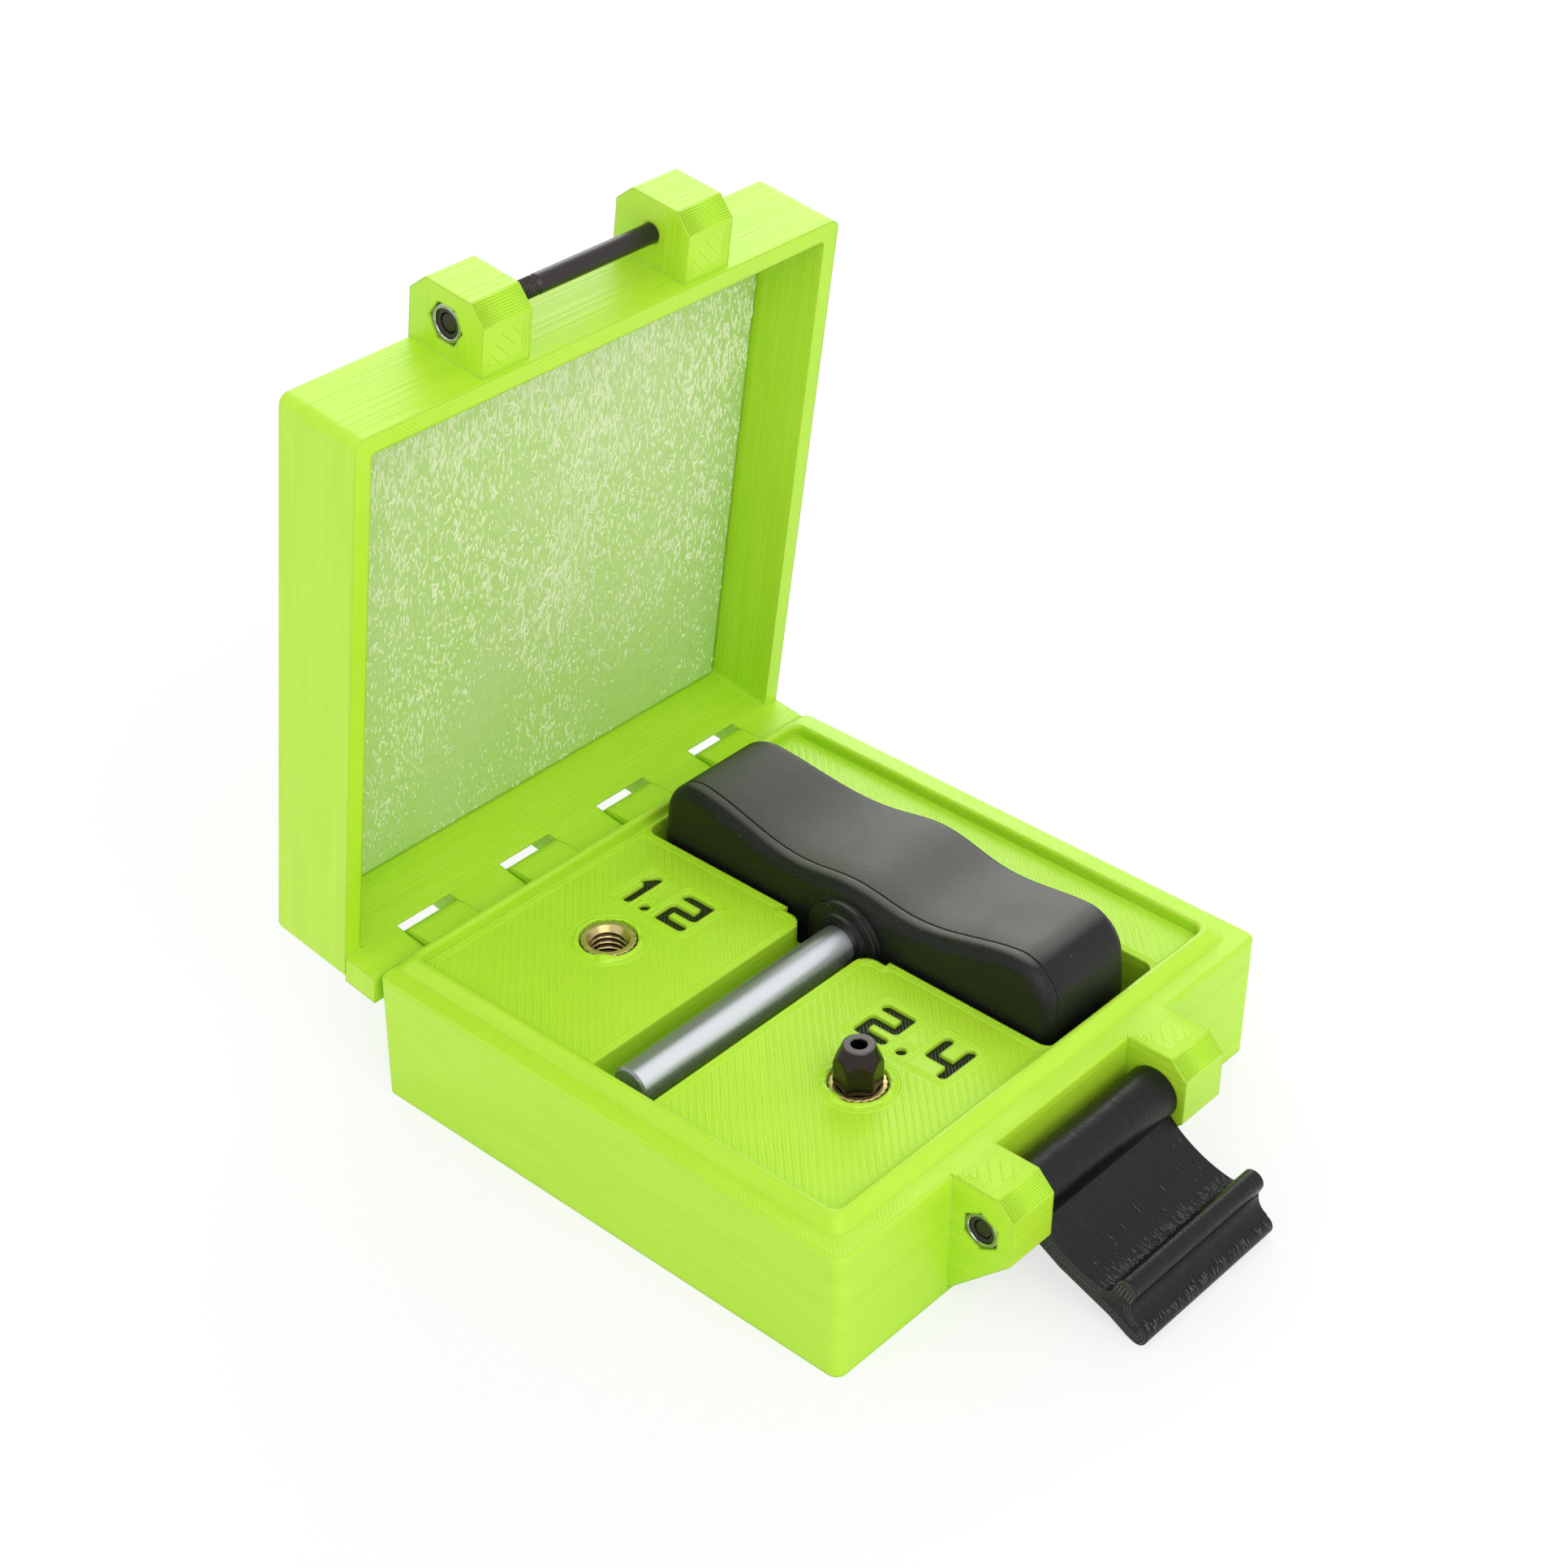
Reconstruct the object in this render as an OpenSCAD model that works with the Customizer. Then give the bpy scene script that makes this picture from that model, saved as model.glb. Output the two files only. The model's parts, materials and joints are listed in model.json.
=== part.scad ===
// Hinged printed tool box, lid open, holding a T-handle tool and one screw-in tip.
// Origin: middle of the base's underside. +Z is up, +Y runs from the latch to the hinge.

/* [Base] */
// Width of the base
base_w = 94; // [92:0.5:110]
// Depth of the base from front wall to back wall
base_d = 88.7; // [87:0.1:104]
// Height of the ledge and the deck
base_h = 21.2; // [19:0.1:30]
// Radius of the upright corners
corner_r = 1.7; // [1:0.1:3]
// Small chamfer on the outer edges
edge_soft = 0.4; // [0.2:0.05:0.8]

/* [Lip] */
// Height of the lip that the lid closes over
lip_h = 1.85; // [1:0.05:4]
// Width of the ledge outside the lip's foot
ledge_w = 3.2; // [2.4:0.1:5]
// How far the lip's outer face leans in
lip_slant = 1.3; // [0.6:0.1:2]
// Width of the lip's top
lip_top_w = 1.3; // [1:0.1:2.5]
// Rounding of the lip's top edges
lip_soft = 0.35; // [0.1:0.05:0.5]

/* [Lid] */
// Gap between the lid's walls and the lip's foot
lip_gap = 0.3; // [0.2:0.05:0.6]
// Thickness of the lid's plate
lid_plate = 2.05; // [1.6:0.05:3]
// Thickness of the wall that carries the hinge
hinge_wall = 4.6; // [4.4:0.1:6]
// Chamfer between the lid's plate and its hinge wall
lid_back_chamfer = 2; // [0.5:0.1:3]
// Gap under the lid's rim when it is closed
rim_gap = 0.1; // [0.05:0.05:0.3]
// Angle at which the lid stands open
open_angle = 82.4; // [60:0.1:110]

/* [Foam pad] */
// Thickness of the foam
foam_t = 1.7; // [1:0.1:4]
// Gap between the foam's edge and the lid's walls
foam_edge_gap = 0.1; // [0.05:0.05:1]
// Gap between the closed lid's foam and the grip
foam_gap = 0.25; // [0.2:0.05:1]

/* [Hinge] */
// Number of knuckles, lid and base together
knuckles = 9; // [5:2:13]
// Gap between neighbouring knuckles
knuckle_gap = 0.24; // [0.16:0.02:0.4]
// Radius of the base's knuckles
knuckle_r = 3.45; // [3:0.05:3.6]
// Gap between the back wall and the lid's hinge wall
back_gap = 1.1; // [1:0.05:2]
// Distance from the hinge wall's inner face to the hinge axis
axis_inset = 2.7; // [2.5:0.1:3]
// How far the lid's knuckles reach below the hinge axis
knuckle_drop = 2.8; // [2.4:0.1:2.9]
// Rounding of the lid knuckles' inner corner
knuckle_round = 1; // [0.8:0.1:1.4]
// Gap over the base's knuckles at the inner side of the lid's notches
notch_gap = 0.3; // [0.2:0.05:0.6]
// Diameter of the hinge pin
hinge_pin_d = 2; // [1.5:0.05:2.5]
// Solid end left over the blind end of the hinge bore
pin_end_wall = 1.5; // [0.8:0.1:3]
// Distance from the hinge pin's free end to the open end of its bore
pin_sink = 0.8; // [0.2:0.1:2]

/* [Latch ears] */
// Width of each ear
ear_w = 8.95; // [8:0.05:11]
// How far the ears stand out of the front wall
ear_out = 10.3; // [9.6:0.1:12]
// Chamfer on the ears' outer edges
ear_chamfer = 2.75; // [1:0.05:3]
// Height of the upright face of the base's ears
ear_face = 7.55; // [6.8:0.05:9]
// Distance from the front wall to the screws
screw_out = 5.05; // [4.8:0.05:5.4]
// Depth of the latch screw below the ledge
latch_screw_drop = 7; // [6:0.1:8]
// Height of the catch screw above the ledge
catch_screw_rise = 8.2; // [7.6:0.1:9]
// Gap between the ledge and the lid's ears
ear_rim_gap = 1.1; // [0.4:0.1:1.6]

/* [Screws and nuts] */
// Diameter of the screws' plain shank
screw_d = 3; // [2.9:0.05:3.1]
// Depth of the screws' thread
thread_depth = 0.28; // [0.2:0.02:0.32]
// Pitch of the screws' thread
thread_pitch = 0.5; // [0.45:0.05:0.6]
// Length of the thread
thread_len = 15.5; // [10:0.5:20]
// Diameter of the screw head
head_d = 5.7; // [5.4:0.1:6]
// Height of the screw head
head_h = 1.65; // [1.4:0.05:2]
// Width of the hexagon socket in the head
head_key = 2; // [1.5:0.1:2.5]
// Depth of the hexagon socket
head_key_depth = 1.1; // [0.6:0.1:1.4]
// Depth of the counterbore for the head
head_sink = 2.45; // [2:0.05:3]
// Distance from the screw's end to the ear's outer face
screw_end_sink = 0.65; // [0.4:0.05:1.4]
// Width of the nut across its flats
nut_af = 5.5; // [5.3:0.05:5.6]
// Height of the nut's hexagon
nut_hex_h = 2.7; // [2.2:0.1:2.9]
// Height of the round collar over the nut's locking ring
nut_collar_h = 1.3; // [1:0.1:1.6]
// Width of the collar's lip round the locking ring
nut_lip = 0.55; // [0.4:0.05:0.8]
// Depth of the locking ring below the collar's face
nut_ring_sink = 0.3; // [0.1:0.05:0.6]
// Distance from the nut's collar to the ear's outer face
nut_sink = 0.2; // [0.1:0.05:0.5]
// Gap round the nut and the screw head
nut_gap = 0.06; // [0.04:0.01:0.15]

/* [Latch] */
// Width of the latch
latch_w = 29.7; // [24:0.1:34]
// Gap between the latch and each ear
latch_side_gap = 0.25; // [0.15:0.05:0.5]
// Radius of the roll round the latch screw
roll_r = 4.2; // [3.6:0.1:4.4]
// Distance from the latch screw to the hook's inner side
hook_reach = 17.1; // [17:0.05:17.6]
// Radius of the hook's round ridge
ridge_r = 1.7; // [1.4:0.05:1.8]
// How far the hook's ridge reaches past the line of the screws
hook_cover = 2.7; // [2.2:0.1:2.9]
// Radius of the hollow on the inner side of the arm
hollow_r = 19; // [17:0.5:24]
// Distance from the line of the screws to the deepest part of the hollow
hollow_v = 2.7; // [2.4:0.1:2.9]
// Distance from the line of the screws to the arm's outer side
arm_out = 5.55; // [5.2:0.05:6]
// Rounding between the arm and the hook's ridge
hook_fillet = 1.5; // [0.5:0.1:1.6]
// Radius of the round tip of the finger tab
tab_r = 1.7; // [1.4:0.05:1.7]
// Distance from the latch screw to the end of the finger tab
tab_reach = 25; // [25:0.1:25.4]
// Distance from the line of the screws to the middle of the tab
tab_v = 4.35; // [4.2:0.05:4.4]
// Radius of the finger groove behind the hook
groove_r = 2.7; // [2.4:0.1:3]
// Angle below level at which the open latch hangs
latch_hang = 21; // [10:0.5:21]

/* [Grip of the tool] */
// Length of the grip
grip_len = 75; // [70:0.2:76]
// Half height of the grip near its ends
grip_crest = 12.2; // [11:0.1:12.6]
// Half height of the grip at its two waists
grip_waist = 8.2; // [7.4:0.1:9]
// Half height of the grip at its middle
grip_hump = 9.3; // [8.2:0.1:10]
// Distance from the middle to a waist
waist_y = 11; // [9:0.5:13]
// Distance from the middle to a crest
crest_y = 33; // [28:0.5:34]
// Radius of the grip's end corners
grip_corner = 6.5; // [4:0.1:7]
// Bulge of the grip's end faces
end_bulge = 0.4; // [0.1:0.1:1]
// Thickness of the front half, from face to seam
front_t = 2.8; // [2.4:0.1:4]
// Thickness of the rear half at the grip's ends
rear_t = 16.4; // [15:0.2:18]
// How far the rear bulges at the middle
rear_bow = 4.4; // [0:0.1:5]
// Rounding of the front edge
front_round = 2.2; // [1:0.1:2.3]
// Rounding of the rear edge
rear_round = 2.2; // [1.5:0.1:4]

/* [Shaft of the tool] */
// Diameter of the shaft
shaft_d = 6.35; // [5.5:0.05:6.5]
// Length of the shaft in front of the grip
shaft_len = 45.7; // [38:0.1:48]
// Gap between the shaft's end and the lip
shaft_end_gap = 1.7; // [1:0.1:4]
// Chamfer on the shaft's end
shaft_chamfer = 0.35; // [0.1:0.05:0.6]
// Length of the shaft inside the grip
shaft_in = 16; // [14:0.5:18]
// Depth of the shaft's axis below the deck
shaft_drop = 1; // [0:0.1:2]
// Diameter of the pin that locks the shaft in the grip
lock_pin_d = 3; // [2:0.1:3.5]
// Length of the locking pin
lock_pin_len = 20; // [12:0.5:26]
// Distance from the grip's front face to the locking pin
lock_pin_x = 9; // [6:0.5:11]
// Radius of the grip's round boss
boss_r = 6.7; // [5.6:0.1:7.2]
// Height of the boss
boss_h = 1; // [0.6:0.1:1.4]
// Radius of the boss's inner ring
ring_r = 4.9; // [4:0.1:5.4]
// Height of the inner ring
ring_h = 0.7; // [0.3:0.1:1]

/* [Pocket for the tool] */
// How far the tool lies towards the latch from the middle of its pocket
tool_shift = 0.7; // [0:0.1:0.9]
// Mean gap between the grip's ends and the pocket
pocket_end_gap = 1.85; // [1.4:0.05:2]
// Gap in front of the grip
pocket_front_gap = 0.7; // [0.4:0.05:1.5]
// Gap behind the grip's bulge
pocket_rear_gap = 0.8; // [0.5:0.05:2]
// Radius of the pocket's corners
pocket_r = 2; // [1:0.1:3]
// Gap under the tool
seat_gap = 0.3; // [0.2:0.05:0.5]
// Half width of the trough for the shaft
trough_half = 5.85; // [5:0.05:7]
// Half width of the relief for the boss
relief_half = 10; // [9:0.1:12]
// Depth of the relief into the pocket's front side
relief_in = 1; // [0.6:0.1:1.6]
// Rounding where the relief turns into the trough
trough_round = 2.5; // [1:0.1:3]

/* [Inserts and tip] */
// Distance between the two inserts
insert_pitch = 48.4; // [44:0.1:54]
// Distance from the lip to the inserts
insert_in = 23; // [16:0.1:26]
// Outer diameter of the inserts
insert_d = 8.7; // [8:0.1:9.2]
// Bore of the inserts
insert_bore = 5.1; // [4.9:0.05:5.2]
// Length of the inserts
insert_len = 10; // [8:0.5:12]
// Diameter of the chamfered mouth of the inserts' bore
insert_mouth_d = 6; // [5.4:0.1:6.2]
// Height of the inserts' rim above the deck
insert_proud = 0.25; // [0:0.05:0.5]
// Depth of the free hole below each insert
insert_relief = 2; // [0.5:0.5:3]
// Diameter of the free hole below each insert
relief_d = 4.4; // [3:0.1:5]
// Width of the tip across its flats
tip_af = 6.3; // [6:0.1:7]
// Height of the tip above the deck
tip_h = 7; // [6:0.1:9]
// Diameter of the tip's top face
tip_nose_d = 4.5; // [4:0.1:5]
// Diameter of the cone at the bottom of the tip's body
tip_cone_d = 7.9; // [7.4:0.1:8.4]
// Height of the flare under the tip's hexagon
tip_flare_h = 0.7; // [0.4:0.1:1.2]
// Height of the widest band of the tip
tip_band_h = 0.2; // [0.1:0.1:0.6]
// Diameter of the hole in the tip
tip_hole_d = 2.35; // [1.2:0.05:2.8]
// Turn of the tip's hexagon
tip_turn = 14; // [0:1:30]
// Depth of the hole in the tip
tip_hole_depth = 9; // [5:0.5:12]
// Length of the tip's stud
stud_len = 8; // [5:0.5:9]

/* [Size marks] */
// Width of a numeral's strokes
mark_stroke = 1.7; // [1.1:0.05:1.9]
// Height of the numerals
mark_h = 7.8; // [7:0.1:9]
// Width of the numerals
mark_w = 5.8; // [5:0.1:6.2]
// Space between numerals
mark_space = 1; // [0.6:0.1:1.4]
// Width of the numeral 1
digit_one_w = 2.6; // [2:0.1:4]
// Drop of the flag of the numeral 1
flag_drop = 1.1; // [0.6:0.1:2]
// Height of the middle stroke of the numeral 2, as a share of the whole
two_mid = 0.48; // [0.4:0.01:0.56]
// Height of the bar of the numeral 4, as a share of the whole
four_bar = 0.42; // [0.35:0.01:0.5]
// Extra space at each side of the dot in 1.2
dot_space_1_2 = 0.6; // [0:0.1:1]
// Extra space at each side of the dot in 2.4
dot_space_2_4 = 0.8; // [0:0.1:1]
// Distance from the insert to the foot of the numerals
mark_in = 8.4; // [7.4:0.1:9.5]
// Depth of the coloured floor below the deck
mark_floor = 0.6; // [0.4:0.1:1.6]
// Thickness of the coloured inlay
mark_t = 1.2; // [0.6:0.1:2]

/* [Hidden] */
$fn = 64;

// Tiny overlap that keeps joined shapes from only touching.
eps = 0.01;
// Overshoot of the cuts past the faces they open.
cut = 1;
// Radial clearances: pieces that stay put, and pieces that turn or slide.
fit = 0.02;
run = 0.08;
// Sides of the rounded corners inside hulls.
hull_sides = 32;

// Base and lip
front_y = -base_d / 2;
back_y = base_d / 2;
lip_in = ledge_w + lip_slant + lip_top_w;
deck_x = base_w / 2 - lip_in;
deck_front = front_y + lip_in;
deck_back = back_y - lip_slant - lip_top_w;
deck_y = (deck_front + deck_back) / 2;

// Lid, seen closed
lid_wall = ledge_w - lip_gap;
tool_z = base_h - shaft_drop;
foam_z = tool_z + grip_crest + foam_gap;
plate_z = foam_z + foam_t;
lid_top = plate_z + lid_plate;
rim_z = base_h + rim_gap;
wall_in_y = back_y + back_gap;
wall_out_y = wall_in_y + hinge_wall;

// Hinge
hinge_y = wall_in_y + axis_inset;
hinge_z = base_h - knuckle_r;
knuckle_pitch = base_w / knuckles;
pin_x0 = -base_w / 2 + pin_end_wall;
pin_x1 = base_w / 2 - pin_sink;

// Ears, screws and latch
ear_x = latch_w / 2 + latch_side_gap;
ear_end = ear_x + ear_w;
screw_y = front_y - screw_out;
latch_z = base_h - latch_screw_drop;
catch_z = base_h + catch_screw_rise;
head_x = ear_end - head_sink;
screw_x0 = -ear_end + screw_end_sink;
nut_x0 = -ear_end + nut_sink;
nut_h = nut_hex_h + nut_collar_h;
nut_bore = screw_d + 2 * fit;
nut_ring_r = nut_af / 2 - nut_lip;
hollow_u = (roll_r + hook_reach) / 2 + 0.8;
ridge_u = hook_reach + ridge_r;
ridge_v = ridge_r - hook_cover;
hollow_c = hollow_v - hollow_r;
fillet_u = hook_reach - hook_fillet;
fillet_v = hollow_c + sqrt(pow(hollow_r - hook_fillet, 2) - pow(fillet_u - hollow_u, 2));
fillet_a = atan2(fillet_u - hollow_u, fillet_v - hollow_c);
fillet_steps = 6;
tab_u = tab_reach - tab_r;
groove_u = ridge_u + ridge_r + groove_r;
groove_v = tab_v - tab_r - groove_r - 0.2;

// Tool
grip_x = -deck_x + shaft_end_gap + shaft_len;
seam_x = grip_x + front_t;
half_len = grip_len / 2;
shaft_x0 = grip_x - shaft_len;

// Pocket
pocket_x0 = grip_x - pocket_front_gap;
pocket_x1 = seam_x + rear_t + rear_bow + pocket_rear_gap;
pocket_half = half_len + pocket_end_gap;
pocket_z = tool_z - grip_crest - seat_gap;
relief_z = tool_z - boss_r - seat_gap;
trough_z = tool_z - shaft_d / 2 - seat_gap;

// Inserts
insert_x = -deck_x + insert_in;
insert_back_y = deck_y + insert_pitch / 2;
insert_front_y = deck_y - insert_pitch / 2;
tip_foot_z = base_h + insert_proud;
mouth_h = (insert_mouth_d - insert_bore) / 2;

// Marks: widths of the words, read with +X up and -Y to the right
dot_w = mark_stroke;
word_1_2_w = digit_one_w + dot_w + mark_w + 2 * (mark_space + dot_space_1_2);
word_2_4_w = 2 * mark_w + dot_w + 2 * (mark_space + dot_space_2_4);

// ---------- shared shapes ----------

// Flat rectangle across the middle, from y0 to y1, with round corners.
module plan(w, y0, y1, r) {
    translate([-w / 2 + r, y0]) square([w - 2 * r, y1 - y0]);
    translate([-w / 2, y0 + r]) square([w, y1 - y0 - 2 * r]);
    for (x = [-w / 2 + r, w / 2 - r], y = [y0 + r, y1 - r]) translate([x, y]) circle(r);
}

// A side profile drawn in (y, z), extruded along X from x0 to x1.
module along_x(x0, x1) {
    translate([x0, 0, 0]) rotate([90, 0, 90]) linear_extrude(x1 - x0) children();
}

// A round bar along X.
module bar_x(x0, x1, y, z, r) {
    translate([x0, y, z]) rotate([0, 90, 0]) cylinder(r = r, h = x1 - x0);
}

// A hexagonal bar along X, with corners at top and bottom.
module hex_x(x0, x1, y, z, af) {
    translate([x0, y, z]) rotate([0, 90, 0]) cylinder(r = af / 2 / cos(30), h = x1 - x0, $fn = 6);
}

// Puts a piece drawn on the closed lid where the open lid carries it.
module lid_open() {
    translate([0, hinge_y, hinge_z]) rotate([-open_angle, 0, 0])
        translate([0, -hinge_y, -hinge_z]) children();
}

// ---------- base ----------

module base_block() {
    top_front = front_y + edge_soft;
    hull() {
        linear_extrude(base_h - edge_soft) plan(base_w, front_y, back_y, corner_r, $fn = hull_sides);
        linear_extrude(base_h)
            plan(base_w - 2 * edge_soft, top_front, back_y, corner_r - edge_soft, $fn = hull_sides);
    }
}

// One level of the lip's outline, moved in by the given amount from its foot.
module lip_level(z, inset) {
    translate([0, 0, z]) linear_extrude(eps)
        plan(base_w - 2 * (ledge_w + inset), front_y + ledge_w + inset, back_y - inset, corner_r,
             $fn = hull_sides);
}

module lip() {
    top = base_h + lip_h;
    difference() {
        hull() {
            lip_level(base_h - eps, 0);
            lip_level(top - lip_soft, lip_slant);
            lip_level(top - eps, lip_slant + lip_soft);
        }
        translate([0, 0, base_h - cut]) linear_extrude(lip_h + 2 * cut)
            plan(2 * deck_x, deck_front, deck_back, corner_r);
        hull() {
            translate([0, 0, top - lip_soft]) linear_extrude(eps)
                plan(2 * deck_x, deck_front, deck_back, corner_r, $fn = hull_sides);
            translate([0, 0, top]) linear_extrude(eps)
                plan(2 * (deck_x + lip_soft), deck_front - lip_soft, deck_back + lip_soft, corner_r,
                     $fn = hull_sides);
        }
    }
}

// Side profile of the base's ears: chamfered at the top, sloping back under at 45 degrees.
module base_ear_profile() {
    face_low = base_h - ear_chamfer - ear_face;
    polygon([[front_y + cut, base_h], [front_y - ear_out + ear_chamfer, base_h],
             [front_y - ear_out, base_h - ear_chamfer], [front_y - ear_out, face_low],
             [front_y, face_low - ear_out], [front_y + cut, face_low - ear_out]]);
}

// Side profile of a base knuckle with its sloping support.
module knuckle_profile() {
    reach = knuckle_r * cos(45);
    foot_z = hinge_z - reach - (hinge_y + reach - back_y);
    translate([hinge_y, hinge_z]) circle(knuckle_r);
    polygon([[back_y - cut, base_h], [hinge_y, base_h], [hinge_y, hinge_z],
             [hinge_y + reach, hinge_z - reach], [back_y, foot_z], [back_y - cut, foot_z]]);
}

// Numbers the knuckles from the left; the lid has the even ones and the base the odd ones.
module knuckle_slots(first, gap) {
    for (i = [first : 2 : knuckles - 1])
        along_x(-base_w / 2 + i * knuckle_pitch + gap / 2, -base_w / 2 + (i + 1) * knuckle_pitch - gap / 2)
            children();
}

// Bores for a screw through both ears, with the nut's and the head's pockets.
module ear_bores(z) {
    bar_x(-ear_end - cut, ear_end + cut, screw_y, z, screw_d / 2 + fit);
    hex_x(-ear_end - cut, nut_x0 + nut_h, screw_y, z, nut_af + 2 * nut_gap);
    bar_x(head_x, ear_end + cut, screw_y, z, head_d / 2 + nut_gap);
}

// Outline of the pocket, the trough and the relief round the boss, as seen from above.
module pocket_outline() {
    w = pocket_x1 - pocket_x0;
    translate([(pocket_x0 + pocket_x1) / 2, deck_y]) plan(w, -pocket_half, pocket_half, pocket_r);
}

module trough_outline() {
    relief_x = pocket_x0 - relief_in;
    translate([-deck_x, deck_y - trough_half]) square([pocket_x0 + deck_x + cut, 2 * trough_half]);
    for (s = [-1, 1]) difference() {
        translate([relief_x - trough_round, deck_y + s * (trough_half + trough_round / 2)])
            translate([0, -trough_round / 2]) square([trough_round + cut, trough_round]);
        translate([relief_x - trough_round, deck_y + s * (trough_half + trough_round)]) circle(trough_round);
    }
}

module relief_outline() {
    translate([pocket_x0 - relief_in, deck_y - relief_half]) square([relief_in + cut, 2 * relief_half]);
}

module pit(z, height) {
    translate([0, 0, z]) linear_extrude(height) children();
}

module base_shell() {
    color([0.6, 0.88, 0.12]) difference() {
        union() {
            base_block();
            lip();
            for (s = [-ear_end, ear_x]) along_x(s, s + ear_w) base_ear_profile();
            knuckle_slots(1, knuckle_gap) knuckle_profile();
        }
        ear_bores(latch_z);
        bar_x(-base_w / 2 - cut, base_w / 2 + cut, hinge_y, hinge_z, hinge_pin_d / 2 + run);
        pit(pocket_z, base_h) pocket_outline();
        pit(relief_z, base_h) relief_outline();
        pit(trough_z, base_h - trough_z + eps) trough_outline();
        for (y = [insert_front_y, insert_back_y]) translate([insert_x, y, base_h - insert_len]) {
            cylinder(d = insert_d + 2 * fit, h = insert_len + cut);
            translate([0, 0, -insert_relief]) cylinder(d = relief_d, h = insert_relief + cut);
        }
        pit(base_h - mark_floor - mark_t, mark_floor + mark_t + cut) {
            word_1_2(mark_stroke);
            word_2_4(mark_stroke);
        }
    }
}

// ---------- size marks ----------

// One stroke with round ends between two points.
module stroke(a, b, w) {
    d = b - a;
    translate(a) {
        circle(d = w);
        rotate(atan2(d[1], d[0])) translate([0, -w / 2]) square([norm(d), w]);
    }
    translate(b) circle(d = w);
}

module strokes(path, w) {
    for (i = [0 : len(path) - 2]) stroke(path[i], path[i + 1], w);
}

// Centre lines of the numerals, from their lower left corner.
module digit_1(w) {
    top = mark_h - mark_stroke / 2;
    stem = digit_one_w - mark_stroke / 2;
    strokes([[mark_stroke / 2, top - flag_drop], [stem, top], [stem, mark_stroke / 2]], w);
}

module digit_2(w) {
    low = mark_stroke / 2;
    right = mark_w - mark_stroke / 2;
    top = mark_h - mark_stroke / 2;
    mid = mark_h * two_mid;
    strokes([[low, top], [right, top], [right, mid], [low, mid], [low, low], [right, low]], w);
}

module digit_4(w) {
    low = mark_stroke / 2;
    right = mark_w - mark_stroke / 2;
    top = mark_h - mark_stroke / 2;
    bar = mark_h * four_bar;
    strokes([[low, top], [low, bar], [right, bar]], w);
    strokes([[right, top], [right, low]], w);
}

module dot(w) {
    translate([mark_stroke / 2, mark_stroke / 2]) circle(d = w);
}

// Turns a word so that it reads with +X up, centred on an insert.
module word_at(y, w) {
    translate([insert_x + mark_in, y + w / 2]) rotate(-90) children();
}

module word_1_2(w) {
    dot_x = digit_one_w + mark_space + dot_space_1_2;
    word_at(insert_back_y, word_1_2_w) {
        digit_1(w);
        translate([dot_x, 0]) dot(w);
        translate([word_1_2_w - mark_w, 0]) digit_2(w);
    }
}

module word_2_4(w) {
    dot_x = mark_w + mark_space + dot_space_2_4;
    word_at(insert_front_y, word_2_4_w) {
        digit_2(w);
        translate([dot_x, 0]) dot(w);
        translate([word_2_4_w - mark_w, 0]) digit_4(w);
    }
}

module mark_1_2() {
    color([0.1, 0.1, 0.1]) pit(base_h - mark_floor - mark_t, mark_t) word_1_2(mark_stroke - 2 * fit);
}

module mark_2_4() {
    color([0.1, 0.1, 0.1]) pit(base_h - mark_floor - mark_t, mark_t) word_2_4(mark_stroke - 2 * fit);
}

// ---------- inserts and tip ----------

module insert_at(y) {
    color([0.78, 0.6, 0.25]) translate([insert_x, y, base_h - insert_len]) difference() {
        cylinder(d = insert_d, h = insert_len + insert_proud);
        translate([0, 0, -cut]) cylinder(d = insert_bore, h = insert_len + insert_proud + 2 * cut);
        translate([0, 0, insert_len + insert_proud - mouth_h])
            cylinder(d1 = insert_bore, d2 = insert_mouth_d + (insert_mouth_d - insert_bore) * eps / mouth_h,
                     h = mouth_h + eps);
    }
}

module insert_1_2() {
    insert_at(insert_back_y);
}

module insert_2_4() {
    insert_at(insert_front_y);
}

// Hexagonal body cut by a cone, with a round hole from its top and a stud below.
module tip_2_4() {
    body_h = tip_h - insert_proud - fit;
    color([0.16, 0.15, 0.15]) translate([insert_x, insert_front_y, tip_foot_z + fit]) difference() {
        union() {
            intersection() {
                rotate(tip_turn) cylinder(r = tip_af / 2 / cos(30), h = body_h, $fn = 6);
                rotate_extrude()
                    polygon([[0, 0], [tip_af / 2, 0], [tip_cone_d / 2, tip_flare_h],
                             [tip_cone_d / 2, tip_flare_h + tip_band_h], [tip_nose_d / 2, body_h],
                             [0, body_h]]);
            }
            translate([0, 0, -stud_len]) cylinder(d = insert_bore - 2 * run, h = stud_len + eps);
        }
        translate([0, 0, body_h - tip_hole_depth]) cylinder(d = tip_hole_d, h = tip_hole_depth + cut);
    }
}

// ---------- screws, nuts and rings ----------

// A button-head screw along X with its head at the right and its thread at the left.
module ear_screw(z) {
    grooves = floor(thread_len / thread_pitch);
    root = screw_d / 2 - thread_depth;
    color([0.12, 0.12, 0.12]) difference() {
        union() {
            translate([screw_x0, screw_y, z]) rotate([0, 90, 0]) rotate_extrude()
                polygon(concat([[0, 0]],
                               [for (i = [0 : grooves - 1], k = [0, 1])
                                   [k == 0 ? root : screw_d / 2 - fit, (i + k / 2) * thread_pitch]],
                               [[root, grooves * thread_pitch], [screw_d / 2, thread_len + thread_pitch],
                                [screw_d / 2, head_x - screw_x0 + eps], [0, head_x - screw_x0 + eps]]));
            bar_x(head_x, head_x + head_h, screw_y, z, head_d / 2);
        }
        hex_x(head_x + head_h - head_key_depth, head_x + head_h + cut, screw_y, z, head_key);
    }
}

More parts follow.
